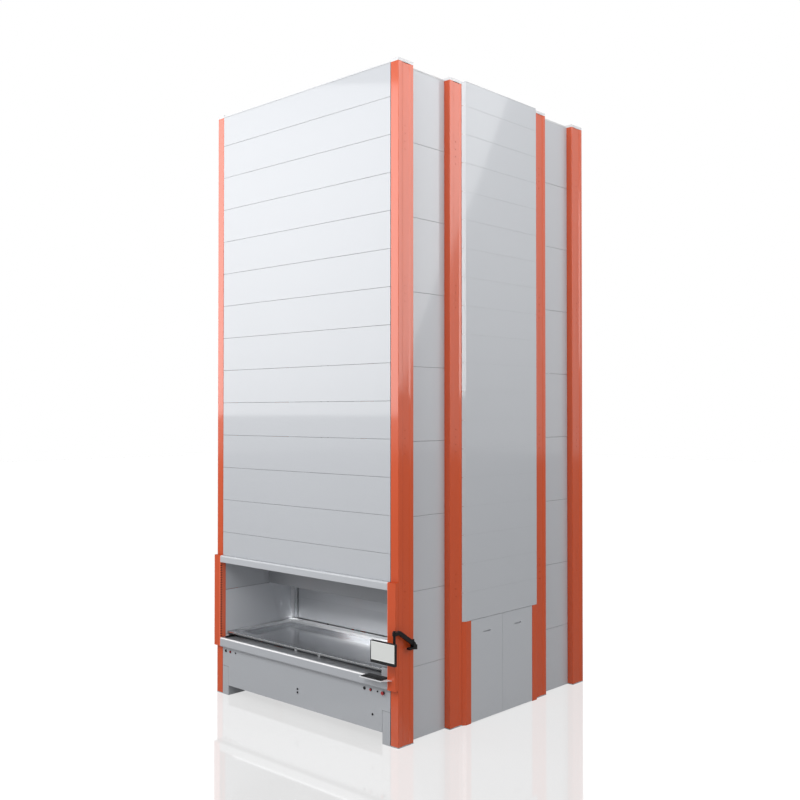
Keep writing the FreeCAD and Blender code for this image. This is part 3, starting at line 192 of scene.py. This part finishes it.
zinc_spangle = spangle_group()
galvanised = finish_material(
    "galvanised_steel", zinc_spangle, {"Crystals": 70.0, "Gloss Base": 0.32},
    strength=0.05, depth=0.0005, Metallic=0.6)
dress(galvanised, "upright_feet", "frame_beams", "bay_rails", "storage_rails", "stored_trays",
      "carriage_frame")
# The masts get a near-white, less metallic copy of the galvanised finish: painted light for the light they
# catch inside the dark shaft.
mast_zinc_painted_light = finish_material(
    "zinc_painted_light", zinc_spangle,
    {"Crystals": 110.0, "Gloss Base": 0.4, "Light Tone": srgb(246, 247, 249),
     "Dark Tone": srgb(222, 225, 229)},
    strength=0.03, depth=0.0005, Metallic=0.25)
dress(mast_zinc_painted_light, "lift_masts")

# ---- outer panels ----
# Folded steel panels with a small bend along every edge, hung between the uprights with narrow joints.
# They have a smooth light grey powder coat; the caps and trims are the same sheet in white.
panel_bend = 0.0016


def merged(node, joined=True):
    """Clean copy of a CAD node's mesh, with doubles merged and, if joined, flat triangles made one face."""
    same_point, flat_angle = 1e-5, math.radians(0.5)
    work = bmesh.new()
    work.from_mesh(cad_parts[node].data)
    bmesh.ops.remove_doubles(work, verts=work.verts, dist=same_point)
    if joined:
        bmesh.ops.dissolve_limit(work, angle_limit=flat_angle, verts=work.verts, edges=work.edges)
    points = [tuple(v.co) for v in work.verts]
    work.verts.index_update()
    faces = [[v.index for v in f.verts] for f in work.faces]
    work.free()
    return points, faces


def put(name, points, faces, material, body):
    """New piece from its points and faces, riding on a body."""
    mesh = bpy.data.meshes.new(name)
    corners = [tuple(point) for point in np.asarray(points, float).tolist()]
    mesh.from_pydata(corners, [], [list(map(int, face)) for face in faces])
    mesh.validate()
    mesh.materials.append(material)
    piece = bpy.data.objects.new(name, mesh)
    bpy.context.scene.collection.objects.link(piece)
    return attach(piece, body)


def softened(node, bend, material, body, joined=True):
    """The node's own shape with its sharp edges rounded, standing for the node."""
    points, faces = merged(node, joined)
    piece = put(node + "_skin", points, faces, material, body)
    edge = piece.modifiers.new("bend", "BEVEL")
    edge.width = bend
    edge.segments = 2
    edge.limit_method = "ANGLE"
    edge.angle_limit = math.radians(50)
    edge.harden_normals = True
    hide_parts(node)


def panel_paint(name, colour, gloss, coat, coat_roughness, clouding=0.03):
    """Smooth powder coat of the panels in one tone, under a clear coat."""
    given = {"Colour": colour, "Clouding": clouding, "Dust": 0.05, "Gloss Base": gloss}
    return finish_material(
        name, paint_skin, given, strength=0.06, depth=0.0003, Coat_Weight=coat, Coat_Roughness=coat_roughness)


grey_paint = panel_paint("grey_powder_coat", srgb(193, 196, 201), gloss=0.36, coat=0.6, coat_roughness=0.05)
white_paint = panel_paint(
    "white_powder_coat", srgb(222, 223, 225), gloss=0.4, coat=0.2, coat_roughness=0.15, clouding=0.02)
for panel in ("front_panels", "rear_panels", "side_panels", "roof_panels"):
    softened(panel, panel_bend, grey_paint, "cabinet")
for side in ("right_front", "right_rear", "left_front", "left_rear"):
    panel = "service_panel_" + side
    softened(panel, panel_bend, grey_paint, panel)
softened("top_caps", panel_bend, white_paint, "cabinet")
dress(grey_paint, "shaft_covers")


def joint_lips(name, node, pitch, sheet, body):
    """Folded lip behind each joint of a node's stacked sheets: a flat box on both sides at each pitch."""
    low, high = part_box(node)
    reach, thickness, slack, bevel = 0.012, 0.001, 0.0002, 0.045
    level = np.arange(low.z + pitch, high.z - pitch / 4, pitch)
    outer = high.x - sheet - slack
    corner = np.array([[x, y, z] for x in (0, 1) for y in (0, 1) for z in (0, 1)], float)
    size = np.array([thickness, high.y - low.y - 2 * bevel, 2 * reach])
    start = np.stack([0 * level + outer - thickness, 0 * level + low.y + bevel, level - reach], axis=1)
    right = start[:, None, :] + corner * size
    points = np.concatenate([right.reshape(-1, 3), (right * [-1, 1, 1]).reshape(-1, 3)])
    sides = np.array([[0, 1, 3, 2], [4, 6, 7, 5], [0, 4, 5, 1], [2, 3, 7, 6], [0, 2, 6, 4], [1, 5, 7, 3]])
    faces = (len(corner) * np.arange(len(level))[:, None, None] + sides).reshape(-1, 4)
    faces = np.concatenate([faces, faces[:, ::-1] + len(corner) * len(level)])
    return put(name, points, faces, grey_paint, body)


cover_pitch, cover_sheet = 0.3204, 0.002
joint_lips("cover_joint_lips", "shaft_covers", cover_pitch, cover_sheet, "cabinet")

# ---- lower front and access bay ----
# Foot covers, the cover with the controls, the orange cheeks, the bay's lining and hood, the sill and lintel.
# All are folded powder coated sheet; the sill and the lintel have a large rolled edge.
# Darker copy of the panels' grey for the lower front panel and the foot covers: painted shade, as they sit
# recessed low under the sill.
shaded_grey_low = panel_paint(
    "grey_powder_coat_painted_shade_low", srgb(176, 179, 184), gloss=0.36, coat=0.6, coat_roughness=0.05)
# Darker copy of the panels' grey for the bay's hood: painted shade for its place deep behind the lintel.
shaded_grey_hood = panel_paint(
    "grey_powder_coat_painted_shade_hood", srgb(160, 163, 168), gloss=0.4, coat=0.3, coat_roughness=0.1)
softened("lower_front_panel", panel_bend, shaded_grey_low, "lower_front_panel")
dress(shaded_grey_low, "front_feet")
dress(shaded_grey_hood, "bay_hood")
dress(grey_paint, "lintel", "shutter_guides", "control_cabinet")
softened("sill_ends", panel_bend, grey_paint, "cabinet")


def paint_inside(tree, given, clouding, dust):
    """Outputs of the paint skin inside another group, with that group's place, colour and gloss."""
    shared = {label: given[label] for label in ("Place", "Colour", "Gloss Base")}
    return add(tree, "Group", {**shared, "Clouding": clouding, "Dust": dust}, node_tree=paint_skin).outputs


def liner_group():
    """Paint of the upper lining sheet, a lighter tone of painted light for the lower one, and a dark joint
    line between them, widened as the seam's painted shadow.
    """
    tree, given = surface_group("liner_finish", {
        "Colour": srgb(200, 203, 208), "Lit Lower Tone": srgb(218, 221, 226), "Joint Shadow Tone": srgb(116, 118, 122),
        "Gloss Base": 0.36})
    joint_level, joint_shadow_half, soft_edge = 1.279, 0.0025, 0.0015
    skin = paint_inside(tree, given, clouding=0.03, dust=0.05)
    height = along(tree, given["Place"])["Z"]
    # Lighter tone on the lower lining sheet: painted light from the bay's lamp.
    below = ramp(tree, height, joint_level, joint_level - soft_edge)
    toned = blend(tree, below, skin["Colour"], given["Lit Lower Tone"])
    # Dark line at the joint, drawn wider than the joint itself as the seam's painted shadow.
    distance = maths(tree, "ABSOLUTE", maths(tree, "SUBTRACT", height, joint_level))
    painted_shade_mark = ramp(tree, distance, joint_shadow_half + soft_edge, joint_shadow_half)
    return put_out(tree, blend(tree, painted_shade_mark, toned, given["Joint Shadow Tone"]), skin["Roughness"], skin["Height"])


liner_paint = finish_material(
    "liner_powder_coat", liner_group(), {}, strength=0.06, depth=0.0003, Coat_Weight=0.6, Coat_Roughness=0.05)
dress(liner_paint, "bay_liners")


def cheek_group():
    """Orange paint with a dark oval of painted shade round each sensor hole, and a lighter tone of painted
    light on the face towards the bay.
    """
    tree, given = surface_group("cheek_finish", {
        "Colour": orange, "Inner Lit Tone": srgb(250, 114, 74), "Hole Shade Tone": srgb(26, 20, 20),
        "Gloss Base": 0.36})
    hole_inset, first_hole, hole_pitch, last_level = 0.018, 0.715, 0.03, 1.612
    half_height, half_width, soft_edge, fade, tray_gap = 0.0075, 0.014, 0.0004, 0.001, 0.018
    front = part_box("access_cheeks")[0].y
    inner_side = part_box("access_tray")[1].x + tray_gap
    skin = paint_inside(tree, given, clouding=0.06, dust=0.06)
    axes = along(tree, given["Place"])
    # Lighter orange on the face towards the bay: painted light.
    inside = ramp(tree, maths(tree, "ABSOLUTE", axes["X"]), inner_side + fade, inner_side)
    tinted = blend(tree, inside, skin["Colour"], given["Inner Lit Tone"])
    # Dark ovals round the sensor holes: painted shade of the holes.
    across = maths(tree, "SUBTRACT", axes["Y"], front + hole_inset)
    nearest = maths(tree, "WRAP", axes["Z"], first_hole + hole_pitch / 2, first_hole - hole_pitch / 2)
    narrowed = maths(tree, "MULTIPLY", across, half_height / half_width)
    upward = maths(tree, "SUBTRACT", nearest, first_hole)
    offset = add(tree, "CombineXYZ", {"X": narrowed, "Y": upward}).outputs[0]
    distance = add(tree, "VectorMath", {0: offset}, operation="LENGTH").outputs["Value"]
    ring = ramp(tree, distance, half_height + soft_edge, half_height - soft_edge)
    below_last = ramp(tree, axes["Z"], last_level + fade, last_level)
    painted_shade_mark = maths(tree, "MULTIPLY", maths(tree, "MULTIPLY", ring, inside), below_last)
    return put_out(tree, blend(tree, painted_shade_mark, tinted, given["Hole Shade Tone"]), skin["Roughness"], skin["Height"])


cheek_paint = finish_material(
    "cheek_powder_coat", cheek_group(), {}, strength=0.15, depth=0.0003, **orange_gloss)
dress(cheek_paint, "access_cheeks")


def sill_group():
    """Paint with painted shade on the top face and the lower roll, and a painted highlight along the front
    edge.
    """
    tree, given = surface_group("sill_finish", {
        "Colour": srgb(198, 201, 206), "Shade Tone": srgb(124, 126, 130), "Highlight Tone": srgb(252, 252, 253),
        "Gloss Base": 0.3})
    low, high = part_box("sill")
    top_band, top_edge, shade_start, shade_full = 0.004, 0.0002, 0.013, 0.03
    roll_height, roll_shade = 0.018, 0.7
    rim_low, rim_high, rim_back, rim_front = 0.015, 0.010, 0.017, 0.013
    skin = paint_inside(tree, given, clouding=0.03, dust=0.05)
    axes = along(tree, given["Place"])
    # Painted shade on the top face and on the lower roll.
    flat = ramp(tree, axes["Z"], high.z - top_band, high.z - top_edge, curve="SMOOTHSTEP")
    behind = ramp(tree, axes["Y"], low.y + shade_start, low.y + shade_full, curve="SMOOTHSTEP")
    roll = ramp(tree, axes["Z"], low.z + roll_height, low.z, roll_shade, "SMOOTHSTEP")
    shade_mask = maths(tree, "MAXIMUM", maths(tree, "MULTIPLY", flat, behind), roll)
    # Painted highlight along the rounded front edge.
    above = ramp(tree, axes["Z"], high.z - rim_low, high.z - rim_high)
    ahead = ramp(tree, axes["Y"], low.y + rim_back, low.y + rim_front)
    rim = maths(tree, "MULTIPLY", above, ahead)
    shaded_colour = blend(tree, shade_mask, skin["Colour"], given["Shade Tone"])
    return put_out(tree, blend(tree, rim, shaded_colour, given["Highlight Tone"]), skin["Roughness"], skin["Height"])


# The sill's base grey is a darker copy of the panels' grey: painted shade.
sill_paint = finish_material(
    "sill_powder_coat", sill_group(), {"Colour": srgb(180, 183, 188)}, strength=0.06, depth=0.0003,
    Coat_Weight=0.4, Coat_Roughness=0.08)
dress(sill_paint, "sill")

# ---- shutter ----
# Sheet steel shutter of two leaves that runs in a channel at each side and goes up behind the lintel.
# It has the same grey powder coat as the panels.
softened("shutter", panel_bend, grey_paint, "shutter")

# ---- access tray ----
# Large tray folded from bright galvanised sheet, with a slotted flange all round and a rolled lip.
# The sheet is brushed across the tray, so it is shinier along the front than the frame's dull zinc.


def brushed_group():
    """Brushed zinc: noise drawn out a hundredfold along X gives tone and height, slow noise the gloss."""
    tree, given = surface_group("brushed_sheet", {
        "Light Tone": srgb(222, 224, 226), "Dark Tone": srgb(196, 199, 203), "Stretch": (4.0, 400.0, 400.0),
        "Gloss Base": 0.22})
    place, gloss_spread = given["Place"], 0.08
    drawn = add(tree, "VectorMath", {0: place, 1: given["Stretch"]}, operation="MULTIPLY").outputs[0]
    lines = noise(tree, drawn, scale=1.0, detail=3.0)
    clouds = noise(tree, place, scale=5.0, detail=4.0)
    tone = maths(tree, "MULTIPLY", lines, clouds)
    return put_out(tree, blend(tree, tone, given["Light Tone"], given["Dark Tone"]),
                   maths(tree, "MULTIPLY_ADD", clouds, gloss_spread, given["Gloss Base"]), lines)


brushed_sheet = brushed_group()


def tray_group():
    """Brushed zinc, paler as painted light and duller on the side and rear flanges, and darker below the
    front flange as painted shade.
    """
    tree, given = surface_group("tray_zinc", {
        "Flange Lit Tone": srgb(240, 241, 242), "Under Flange Shade": srgb(160, 162, 165), "Gloss Base": 0.14})
    low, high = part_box("access_tray")
    flange_foot, flange_start, front_end, side_start, flange_dulling = 0.032, 0.026, 0.09, 0.16, 0.25
    flange_shade_start, flange_shade_full, flange_shade_back = 0.018, 0.022, 0.095
    sheet = add(tree, "Group", {
        "Place": given["Place"], "Gloss Base": given["Gloss Base"], "Light Tone": srgb(206, 208, 211),
        "Dark Tone": srgb(178, 181, 185)}, node_tree=brushed_sheet).outputs
    axes = along(tree, given["Place"])
    raised = ramp(tree, axes["Z"], high.z - flange_foot, high.z - flange_start)
    inward = ramp(tree, axes["Y"], low.y + front_end, low.y + side_start)
    flange = maths(tree, "MULTIPLY", raised, inward)
    # Paler tone on the side and rear flanges: painted light.
    pale = blend(tree, flange, sheet["Colour"], given["Flange Lit Tone"])
    # Darker tone below the front flange: painted shade.
    below = ramp(tree, axes["Z"], high.z - flange_shade_start, high.z - flange_shade_full)
    ahead = ramp(tree, axes["Y"], low.y + flange_shade_back, low.y + front_end)
    flange_shaded = blend(tree, maths(tree, "MULTIPLY", below, ahead), pale, given["Under Flange Shade"])
    return put_out(tree, flange_shaded, maths(tree, "MULTIPLY_ADD", flange, flange_dulling, sheet["Roughness"]),
                   sheet["Height"])


tray_bend = 0.0015
tray_sheet = finish_material(
    "brushed_zinc", tray_group(), {"Gloss Base": 0.16}, strength=0.04, depth=0.0001, Metallic=0.85)
softened("access_tray", tray_bend, tray_sheet, "access_tray", joined=False)

# ---- lift mechanism ----
# Turned steel shafts with belt pulleys, cast bearing blocks and gear motor, nylon shoes and rubber belts.
# They are hidden inside the cabinet, and show when the service panels are off.
bright_steel = finish_material(
    "turned_steel", brushed_sheet, {"Stretch": (300.0, 40.0, 40.0), "Gloss Base": 0.15},
    strength=0.08, depth=0.0002, Metallic=1.0)
dress(bright_steel, "drive_shaft", "top_shaft", "belt_clamps", "extractor")
cast_iron = finish_material(
    "painted_cast_iron", paint_skin,
    {"Colour": srgb(112, 118, 124), "Clouding": 0.12, "Dust": 0.5, "Gloss Base": 0.45},
    strength=0.5, depth=0.001)
dress(cast_iron, "bearing_blocks", "gearmotor")
belt_rubber = finish_material(
    "belt_rubber", paint_skin,
    {"Colour": srgb(34, 34, 36), "Clouding": 0.15, "Dust": 0.4, "Gloss Base": 0.6},
    strength=0.4, depth=0.0006)
dress(belt_rubber, "lift_belts")
white_nylon = finish_material(
    "white_nylon", paint_skin,
    {"Colour": srgb(226, 224, 214), "Clouding": 0.05, "Dust": 0.3, "Gloss Base": 0.42},
    strength=0.2, depth=0.0004, Subsurface_Weight=0.1)
dress(white_nylon, "guide_shoes")

# ---- controls and locks ----
# Push buttons with domed caps, key switches, a mushroom stop and cam locks, each in a turned ring.
# Caps and rings are moulded plastic with a fine spark-eroded grain; the locks are black plated.
black_plastic = finish_material(
    "black_plastic", paint_skin,
    {"Colour": srgb(24, 24, 26), "Clouding": 0.1, "Dust": 0.0, "Gloss Base": 0.4},
    strength=0.2, depth=0.0002, Specular_IOR_Level=0.35)
red_plastic = finish_material(
    "red_plastic", paint_skin,
    {"Colour": srgb(168, 20, 26), "Clouding": 0.06, "Dust": 0.0, "Gloss Base": 0.28},
    strength=0.05, depth=0.0002, Coat_Weight=0.4, Coat_Roughness=0.08)
black_plating = finish_material(
    "black_plating", brushed_sheet,
    {"Stretch": (300.0, 300.0, 300.0), "Gloss Base": 0.24, "Light Tone": srgb(58, 58, 62),
     "Dark Tone": srgb(38, 38, 41)},
    strength=0.05, depth=0.0001, Metallic=0.6)
dress(black_plastic, "bay_sensors", "control_bezels", "keyboard", "monitor")


def turned(name, x, z, profile, material, body):
    """Solid turned about a line along Y; its profile of (radius, y) runs from the front to the back."""
    steps = 48
    profile = np.asarray(profile, float)
    angle = np.arange(steps) * 2 * np.pi / steps
    rings = profile[1:-1]
    radius, depth = rings[:, :1], rings[:, 1:]
    points = np.stack([x + radius * np.cos(angle), depth + 0 * angle, z + radius * np.sin(angle)], axis=-1)
    points = np.concatenate([points.reshape(-1, 3), [[x, profile[0, 1], z], [x, profile[-1, 1], z]]])
    count = len(rings)
    i = np.arange(steps)
    j = (i + 1) % steps
    row = steps * np.arange(count - 1)[:, None]
    wall = np.stack([row + i, row + j, row + steps + j, row + steps + i], axis=-1).reshape(-1, 4)
    front, back = count * steps, count * steps + 1
    last = (count - 1) * steps
    faces = wall.tolist() + np.stack([j, i, np.full(steps, front)], axis=1).tolist() \
        + np.stack([last + i, last + j, np.full(steps, back)], axis=1).tolist()
    piece = put(name, points, faces, material, body)
    for polygon in piece.data.polygons:
        polygon.use_smooth = True
    return piece


def rounded_front(radius, front, back, edge, dome):
    """Profile of a cap: a parabolic dome, a quarter round of the edge's radius, the side and a flat back."""
    inner, steps = radius - edge, 7
    crown = [(inner * t, front + dome * t * t) for t in np.linspace(0, 1, steps)]
    quarter = np.linspace(0, np.pi / 2, steps)[1:]
    rim = [(inner + edge * math.sin(t), front + dome + edge * (1 - math.cos(t))) for t in quarter]
    return crown + rim + [(radius, back), (0, back)]


def middle(node):
    """Middle across, middle height and half width of a node's box, with its front and back."""
    low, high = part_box(node)
    return (low.x + high.x) / 2, (low.z + high.z) / 2, (high.x - low.x) / 2, low.y, high.y


cap_edge, cap_dome = 0.002, 0.0012
for plastic, tone in ((black_plastic, "black"), (red_plastic, "red")):
    for side in ("left", "right"):
        button = f"button_{tone}_{side}"
        x, z, radius, front, back = middle(button)
        profile = rounded_front(radius, front, back, cap_edge, cap_dome)
        cap = turned(button + "_cap", x, z, profile, plastic, button)
        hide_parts(button)
head_depth, head_edge, head_dome, under_edge = 0.014, 0.006, 0.002, 0.0015
x, z, radius, front, back = middle("emergency_stop")
head = rounded_front(radius, front, front + head_depth, head_edge, head_dome)[:-2]
neck = [(radius, front + head_depth - under_edge), (radius - under_edge, front + head_depth),
        (radius / 2, front + head_depth), (radius / 2, back), (0, back)]
stop = turned("emergency_stop_head", x, z, head + neck, red_plastic, "emergency_stop")
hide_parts("emergency_stop")
dress(black_plating, "key_switch_left", "key_switch_right", "lock_upper", "lock_lower", "lock_right")

# ---- keyboard ----
# Flat black keyboard on a white sheet shelf with a folded lip; its keys are low caps with sloped sides.
dress(white_paint, "keyboard_shelf")


def key_caps(name, body):
    """Grid of caps, each of three rounded squares, |cos| and |sin| to a power: its foot, shoulder and top."""
    low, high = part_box("keyboard")
    margin, rows, columns, gap = 0.006, 6, 15, 0.0025
    space_first, space_last = 4, 9
    sides, squareness = 16, 0.35
    foot, shoulder, top = (0.0, -0.0006), (0.0004, 0.0012), (0.0016, 0.0019)
    spots = [(c, r, 1) for r in range(rows) for c in range(columns)
             if r or not space_first <= c <= space_last]
    spots.append((space_first, 0, space_last - space_first + 1))
    column, row, span = np.array(spots).T
    angle = (np.arange(sides) + 0.5) * 2 * np.pi / sides
    turn = np.stack([np.cos(angle), np.sin(angle)], axis=1)
    outline = np.sign(turn) * np.abs(turn) ** squareness
    pitch = (np.array([high.x - low.x, high.y - low.y]) - 2 * margin) / [columns, rows]
    half = (np.stack([span, 0 * span + 1], axis=1) * pitch - gap) / 2
    centre = np.array([low.x, low.y]) + margin + np.stack([column + span / 2, row + 0.5], axis=1) * pitch
    shrink, rise = np.array([foot, shoulder, top]).T[..., None, None]
    flat = centre[:, None, None] + outline * (half[:, None, None] - shrink)
    points = np.concatenate([flat, 0 * flat[..., :1] + high.z + rise], axis=-1).reshape(-1, 3)
    i = np.arange(sides)
    j = (i + 1) % sides
    wall = np.stack([i, j, sides + j, sides + i], axis=1)
    cap = [*wall, *(wall + sides), i + 2 * sides, i[::-1]]
    faces = [face + 3 * sides * number for number in range(len(spots)) for face in cap]
    return put(name, points, faces, black_plastic, body)


key_caps("key_caps", "keyboard")

# ---- monitor arm and monitor ----
# Cast aluminium arm in black, clamped to the upright, and a flat monitor with a thick chin.
# The screen is a matt pale sheet in the monitor's recess, a little lighter along its edges.
black_metal = finish_material(
    "black_arm_paint", paint_skin,
    {"Colour": srgb(18, 18, 19), "Clouding": 0.08, "Dust": 0.0, "Gloss Base": 0.4},
    strength=0.15, depth=0.0003, Specular_IOR_Level=0.3)
dress(black_metal, "arm_bracket", "arm_base", "arm_link", "arm_knuckle", "arm_head")


def screen_material(width, height):
    """Pale glass with a lighter band of a few millimetres, found from the distance to the nearest edge."""
    material = bpy.data.materials.new("pale_screen")
    material.use_nodes = True
    tree = material.node_tree
    band_per_metre, grain_size, grain_spread, gloss, glow = 80.0, 900.0, 0.1, 0.3, 0.3
    place = add(tree, "UVMap", uv_map="sheet").outputs[0]
    axes = along(tree, place)
    to_edge = []
    for axis, size in (("X", width), ("Y", height)):
        from_middle = maths(tree, "ABSOLUTE", maths(tree, "SUBTRACT", axes[axis], size / 2))
        to_edge.append(maths(tree, "SUBTRACT", size / 2, from_middle))
    nearest = maths(tree, "MINIMUM", *to_edge)
    band = add(tree, "Math", {0: nearest, 1: band_per_metre}, operation="MULTIPLY", use_clamp=True).outputs[0]
    tone = add(tree, "ValToRGB", {0: band})
    edge_end, middle_start = (0.25, srgb(228, 230, 228)), (0.5, srgb(196, 198, 196))
    for stop, (position, colour) in zip(tone.color_ramp.elements, (edge_end, middle_start)):
        stop.position = position
        stop.color = colour
    grain = add(tree, "TexNoise", {"Vector": place, "Scale": grain_size}).outputs[0]
    principled = tree.nodes["Principled BSDF"].inputs
    tree.links.new(maths(tree, "MULTIPLY_ADD", grain, grain_spread, gloss), principled["Roughness"])
    tree.links.new(tone.outputs[0], principled["Base Color"])
    tree.links.new(tone.outputs[0], principled["Emission Color"])
    principled["Emission Strength"].default_value = glow
    return material


def screen(name, body):
    """Flat sheet in the recess: two grids, front and rear, with a skirt between, and a UV map in metres."""
    low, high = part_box("monitor")
    side, top, chin, proud, thickness = 0.0104, 0.0094, 0.032, 0.0011, 0.0003
    columns, rows = 12, 8
    x0, x1, z0, z1 = low.x + side, high.x - side, low.z + chin, high.z - top
    across, up = np.linspace(x0, x1, columns), np.linspace(z0, z1, rows)
    grid = np.stack(np.meshgrid(across, up), axis=-1).reshape(-1, 2)
    front = np.insert(grid, 1, low.y + proud, axis=1)
    points = np.concatenate([front, front + [0, thickness, 0]])
    count = len(front)
    index = np.arange(count).reshape(rows, columns)
    first = index[:-1, :-1].ravel()
    faces = np.stack([first, first + 1, first + columns + 1, first + columns], axis=1)
    back = faces[:, ::-1] + count
    border = np.concatenate([index[0], index[1:, -1], index[-1, -2::-1], index[-2:0:-1, 0]])
    following = np.roll(border, -1)
    skirt = np.stack([following, border, border + count, following + count], axis=1)
    piece = put(name, points, np.concatenate([faces, back, skirt]), screen_material(x1 - x0, z1 - z0), body)
    sheet = piece.data.uv_layers.new(name="sheet")
    corners = np.empty(len(piece.data.loops), dtype=np.int32)
    piece.data.loops.foreach_get("vertex_index", corners)
    sheet.data.foreach_set("uv", (points[corners][:, [0, 2]] - [x0, z0]).astype(np.float32).ravel())
    return piece


screen("screen_sheet", "monitor")


# ---- floor ----
# Plain pale studio floor, one flat sheet that reaches far past the cabinet on all sides.
# It has a faint polish, so it mirrors the cabinet's foot a little.
def make_floor():
    """Flat sheet with a faint mirror; its white is lifted for the camera, and a little for bounced light."""
    half, drop, mirror, polish_roughness = 60.0, 0.001, 0.16, 0.05
    camera_lift, bounce_lift, white = 0.76, 0.3, (1.0, 1.0, 1.0, 1.0)
    mesh = bpy.data.meshes.new("studio_floor")
    mesh.from_pydata([(x * half, y * half, -drop) for x, y in ((-1, -1), (1, -1), (1, 1), (-1, 1))],
                     [], [(0, 1, 2, 3)])
    floor = bpy.data.objects.new("studio_floor", mesh)
    bpy.context.scene.collection.objects.link(floor)
    material = bpy.data.materials.new("pale_floor")
    material.use_nodes = True
    tree = material.node_tree
    tree.nodes.clear()
    rays = add(tree, "LightPath").outputs
    bounce = maths(tree, "MULTIPLY", rays["Is Diffuse Ray"], bounce_lift)
    strength = maths(tree, "MULTIPLY_ADD", rays["Is Camera Ray"], camera_lift, bounce)
    diffuse = add(tree, "BsdfDiffuse", {"Color": (0.15, 0.15, 0.15, 1.0)})
    lift = add(tree, "Emission", {"Color": white, "Strength": strength})
    total = add(tree, "AddShader", {0: diffuse.outputs[0], 1: lift.outputs[0]})
    polish = add(tree, "BsdfAnisotropic", {"Color": white, "Roughness": polish_roughness})
    mixed = add(tree, "MixShader", {0: mirror, 1: total.outputs[0], 2: polish.outputs[0]})
    add(tree, "OutputMaterial", {0: mixed.outputs[0]})
    mesh.materials.append(material)


make_floor()


# ---- studio light ----
# Pale surround, softboxes to the front left, in front, over the right side and behind it, and two tall strips
# that shine in the uprights' bevels. Two small lamps in the access bay stand for the bay's own light.
def make_world():
    """White surround for the camera, lower levels for light and mirror rays, and a bright rear backdrop."""
    light_level, mirror_level, backdrop_level, backdrop_start, backdrop_full = 0.29, 0.8, 2.1, 0.3, 0.55
    to_backdrop = (-0.68, 0.73, 0.0)
    world = bpy.data.worlds.new("studio")
    bpy.context.scene.world = world
    world.use_nodes = True
    tree = world.node_tree
    tree.nodes.clear()
    rays = add(tree, "LightPath").outputs
    seen = maths(tree, "MAXIMUM", rays["Is Camera Ray"], rays["Is Transmission Ray"])
    way = add(tree, "TexCoord").outputs["Generated"]
    rearward = add(tree, "VectorMath", {0: way, 1: to_backdrop}, operation="DOT_PRODUCT").outputs["Value"]
    backdrop = add(tree, "MapRange", {
        "Value": rearward, "From Min": backdrop_start, "From Max": backdrop_full, "To Min": mirror_level,
        "To Max": backdrop_level}).outputs[0]
    mirrored = add(tree, "MapRange", {
        "Value": rays["Is Glossy Ray"], "From Min": 0.0, "From Max": 1.0, "To Min": light_level,
        "To Max": backdrop}).outputs[0]
    level = maths(tree, "MAXIMUM", seen, mirrored)
    sky = add(tree, "Background", {"Color": (1.0, 1.0, 1.0, 1.0), "Strength": level})
    add(tree, "OutputWorld", {0: sky.outputs[0]})


def softbox(name, place, target, width, height, watts, roll=0.0, spread=180.0):
    """Rectangular lamp at a place, facing a target, turned by roll about its own line of sight."""
    data = bpy.data.lights.new(name, "AREA")
    data.shape = "RECTANGLE"
    data.size = width
    data.size_y = height
    data.energy = watts
    data.spread = math.radians(spread)
    lamp = bpy.data.objects.new(name, data)
    bpy.context.scene.collection.objects.link(lamp)
    lamp.location = place
    lamp.rotation_euler = (Vector(target) - Vector(place)).to_track_quat("-Z", "Y").to_euler()
    if roll:
        lamp.rotation_euler.rotate_axis("Z", math.radians(roll))


make_world()
softbox("softbox_front", (-7.3, -10.6, 7.15), (0.0, -1.7, 5.0), 9.6, 7.6, 715.0)
softbox("softbox_fill", (2.5, -9.5, 9.5), (0.3, -1.7, 4.0), 5.0, 5.0, 450.0)
softbox("softbox_right", (5.2, -1.6, 10.4), (1.5, -0.6, 5.2), 4.0, 3.0, 120.0)
softbox("softbox_back", (10.39, 7.82, 8.66), (1.32, -1.12, 6.07), 3.2, 9.0, 225.0, roll=-18.9)
softbox("softbox_strip_front", (13.12, -3.93, 7.7), (1.56, -0.7, 7.7), 0.9, 7.6, 160.0)
softbox("softbox_strip_rear", (12.95, 2.5, 7.7), (1.54, -1.2, 7.7), 1.8, 7.6, 180.0)
softbox("bay_strip", (-0.2, -0.8, 1.25), (-0.2, -0.66, 0.75), 2.3, 0.05, 0.9, spread=45.0)
softbox("bay_corner", (-1.18, -0.70, 1.24), (-1.36, -0.65, 0.76), 0.06, 0.06, 0.08, spread=20.0)


# ---- camera ----
# Normal lens a little below half the cabinet's height, to the front right of it.
# It looks almost level, so the uprights stay nearly parallel.
def make_camera():
    """Camera at a place, turned by its tilt and its heading in degrees."""
    place, tilt, heading = (8.493, -9.214, 3.472), 90.767, 42.874
    data = bpy.data.cameras.new("camera")
    data.lens = 44.18
    data.sensor_width = 36.0
    data.clip_end = 200.0
    camera = bpy.data.objects.new("camera", data)
    camera.location = place
    camera.rotation_euler = (math.radians(tilt), 0.0, math.radians(heading))
    bpy.context.scene.collection.objects.link(camera)
    bpy.context.scene.camera = camera


make_camera()
bpy.context.scene.view_settings.view_transform = "Standard"
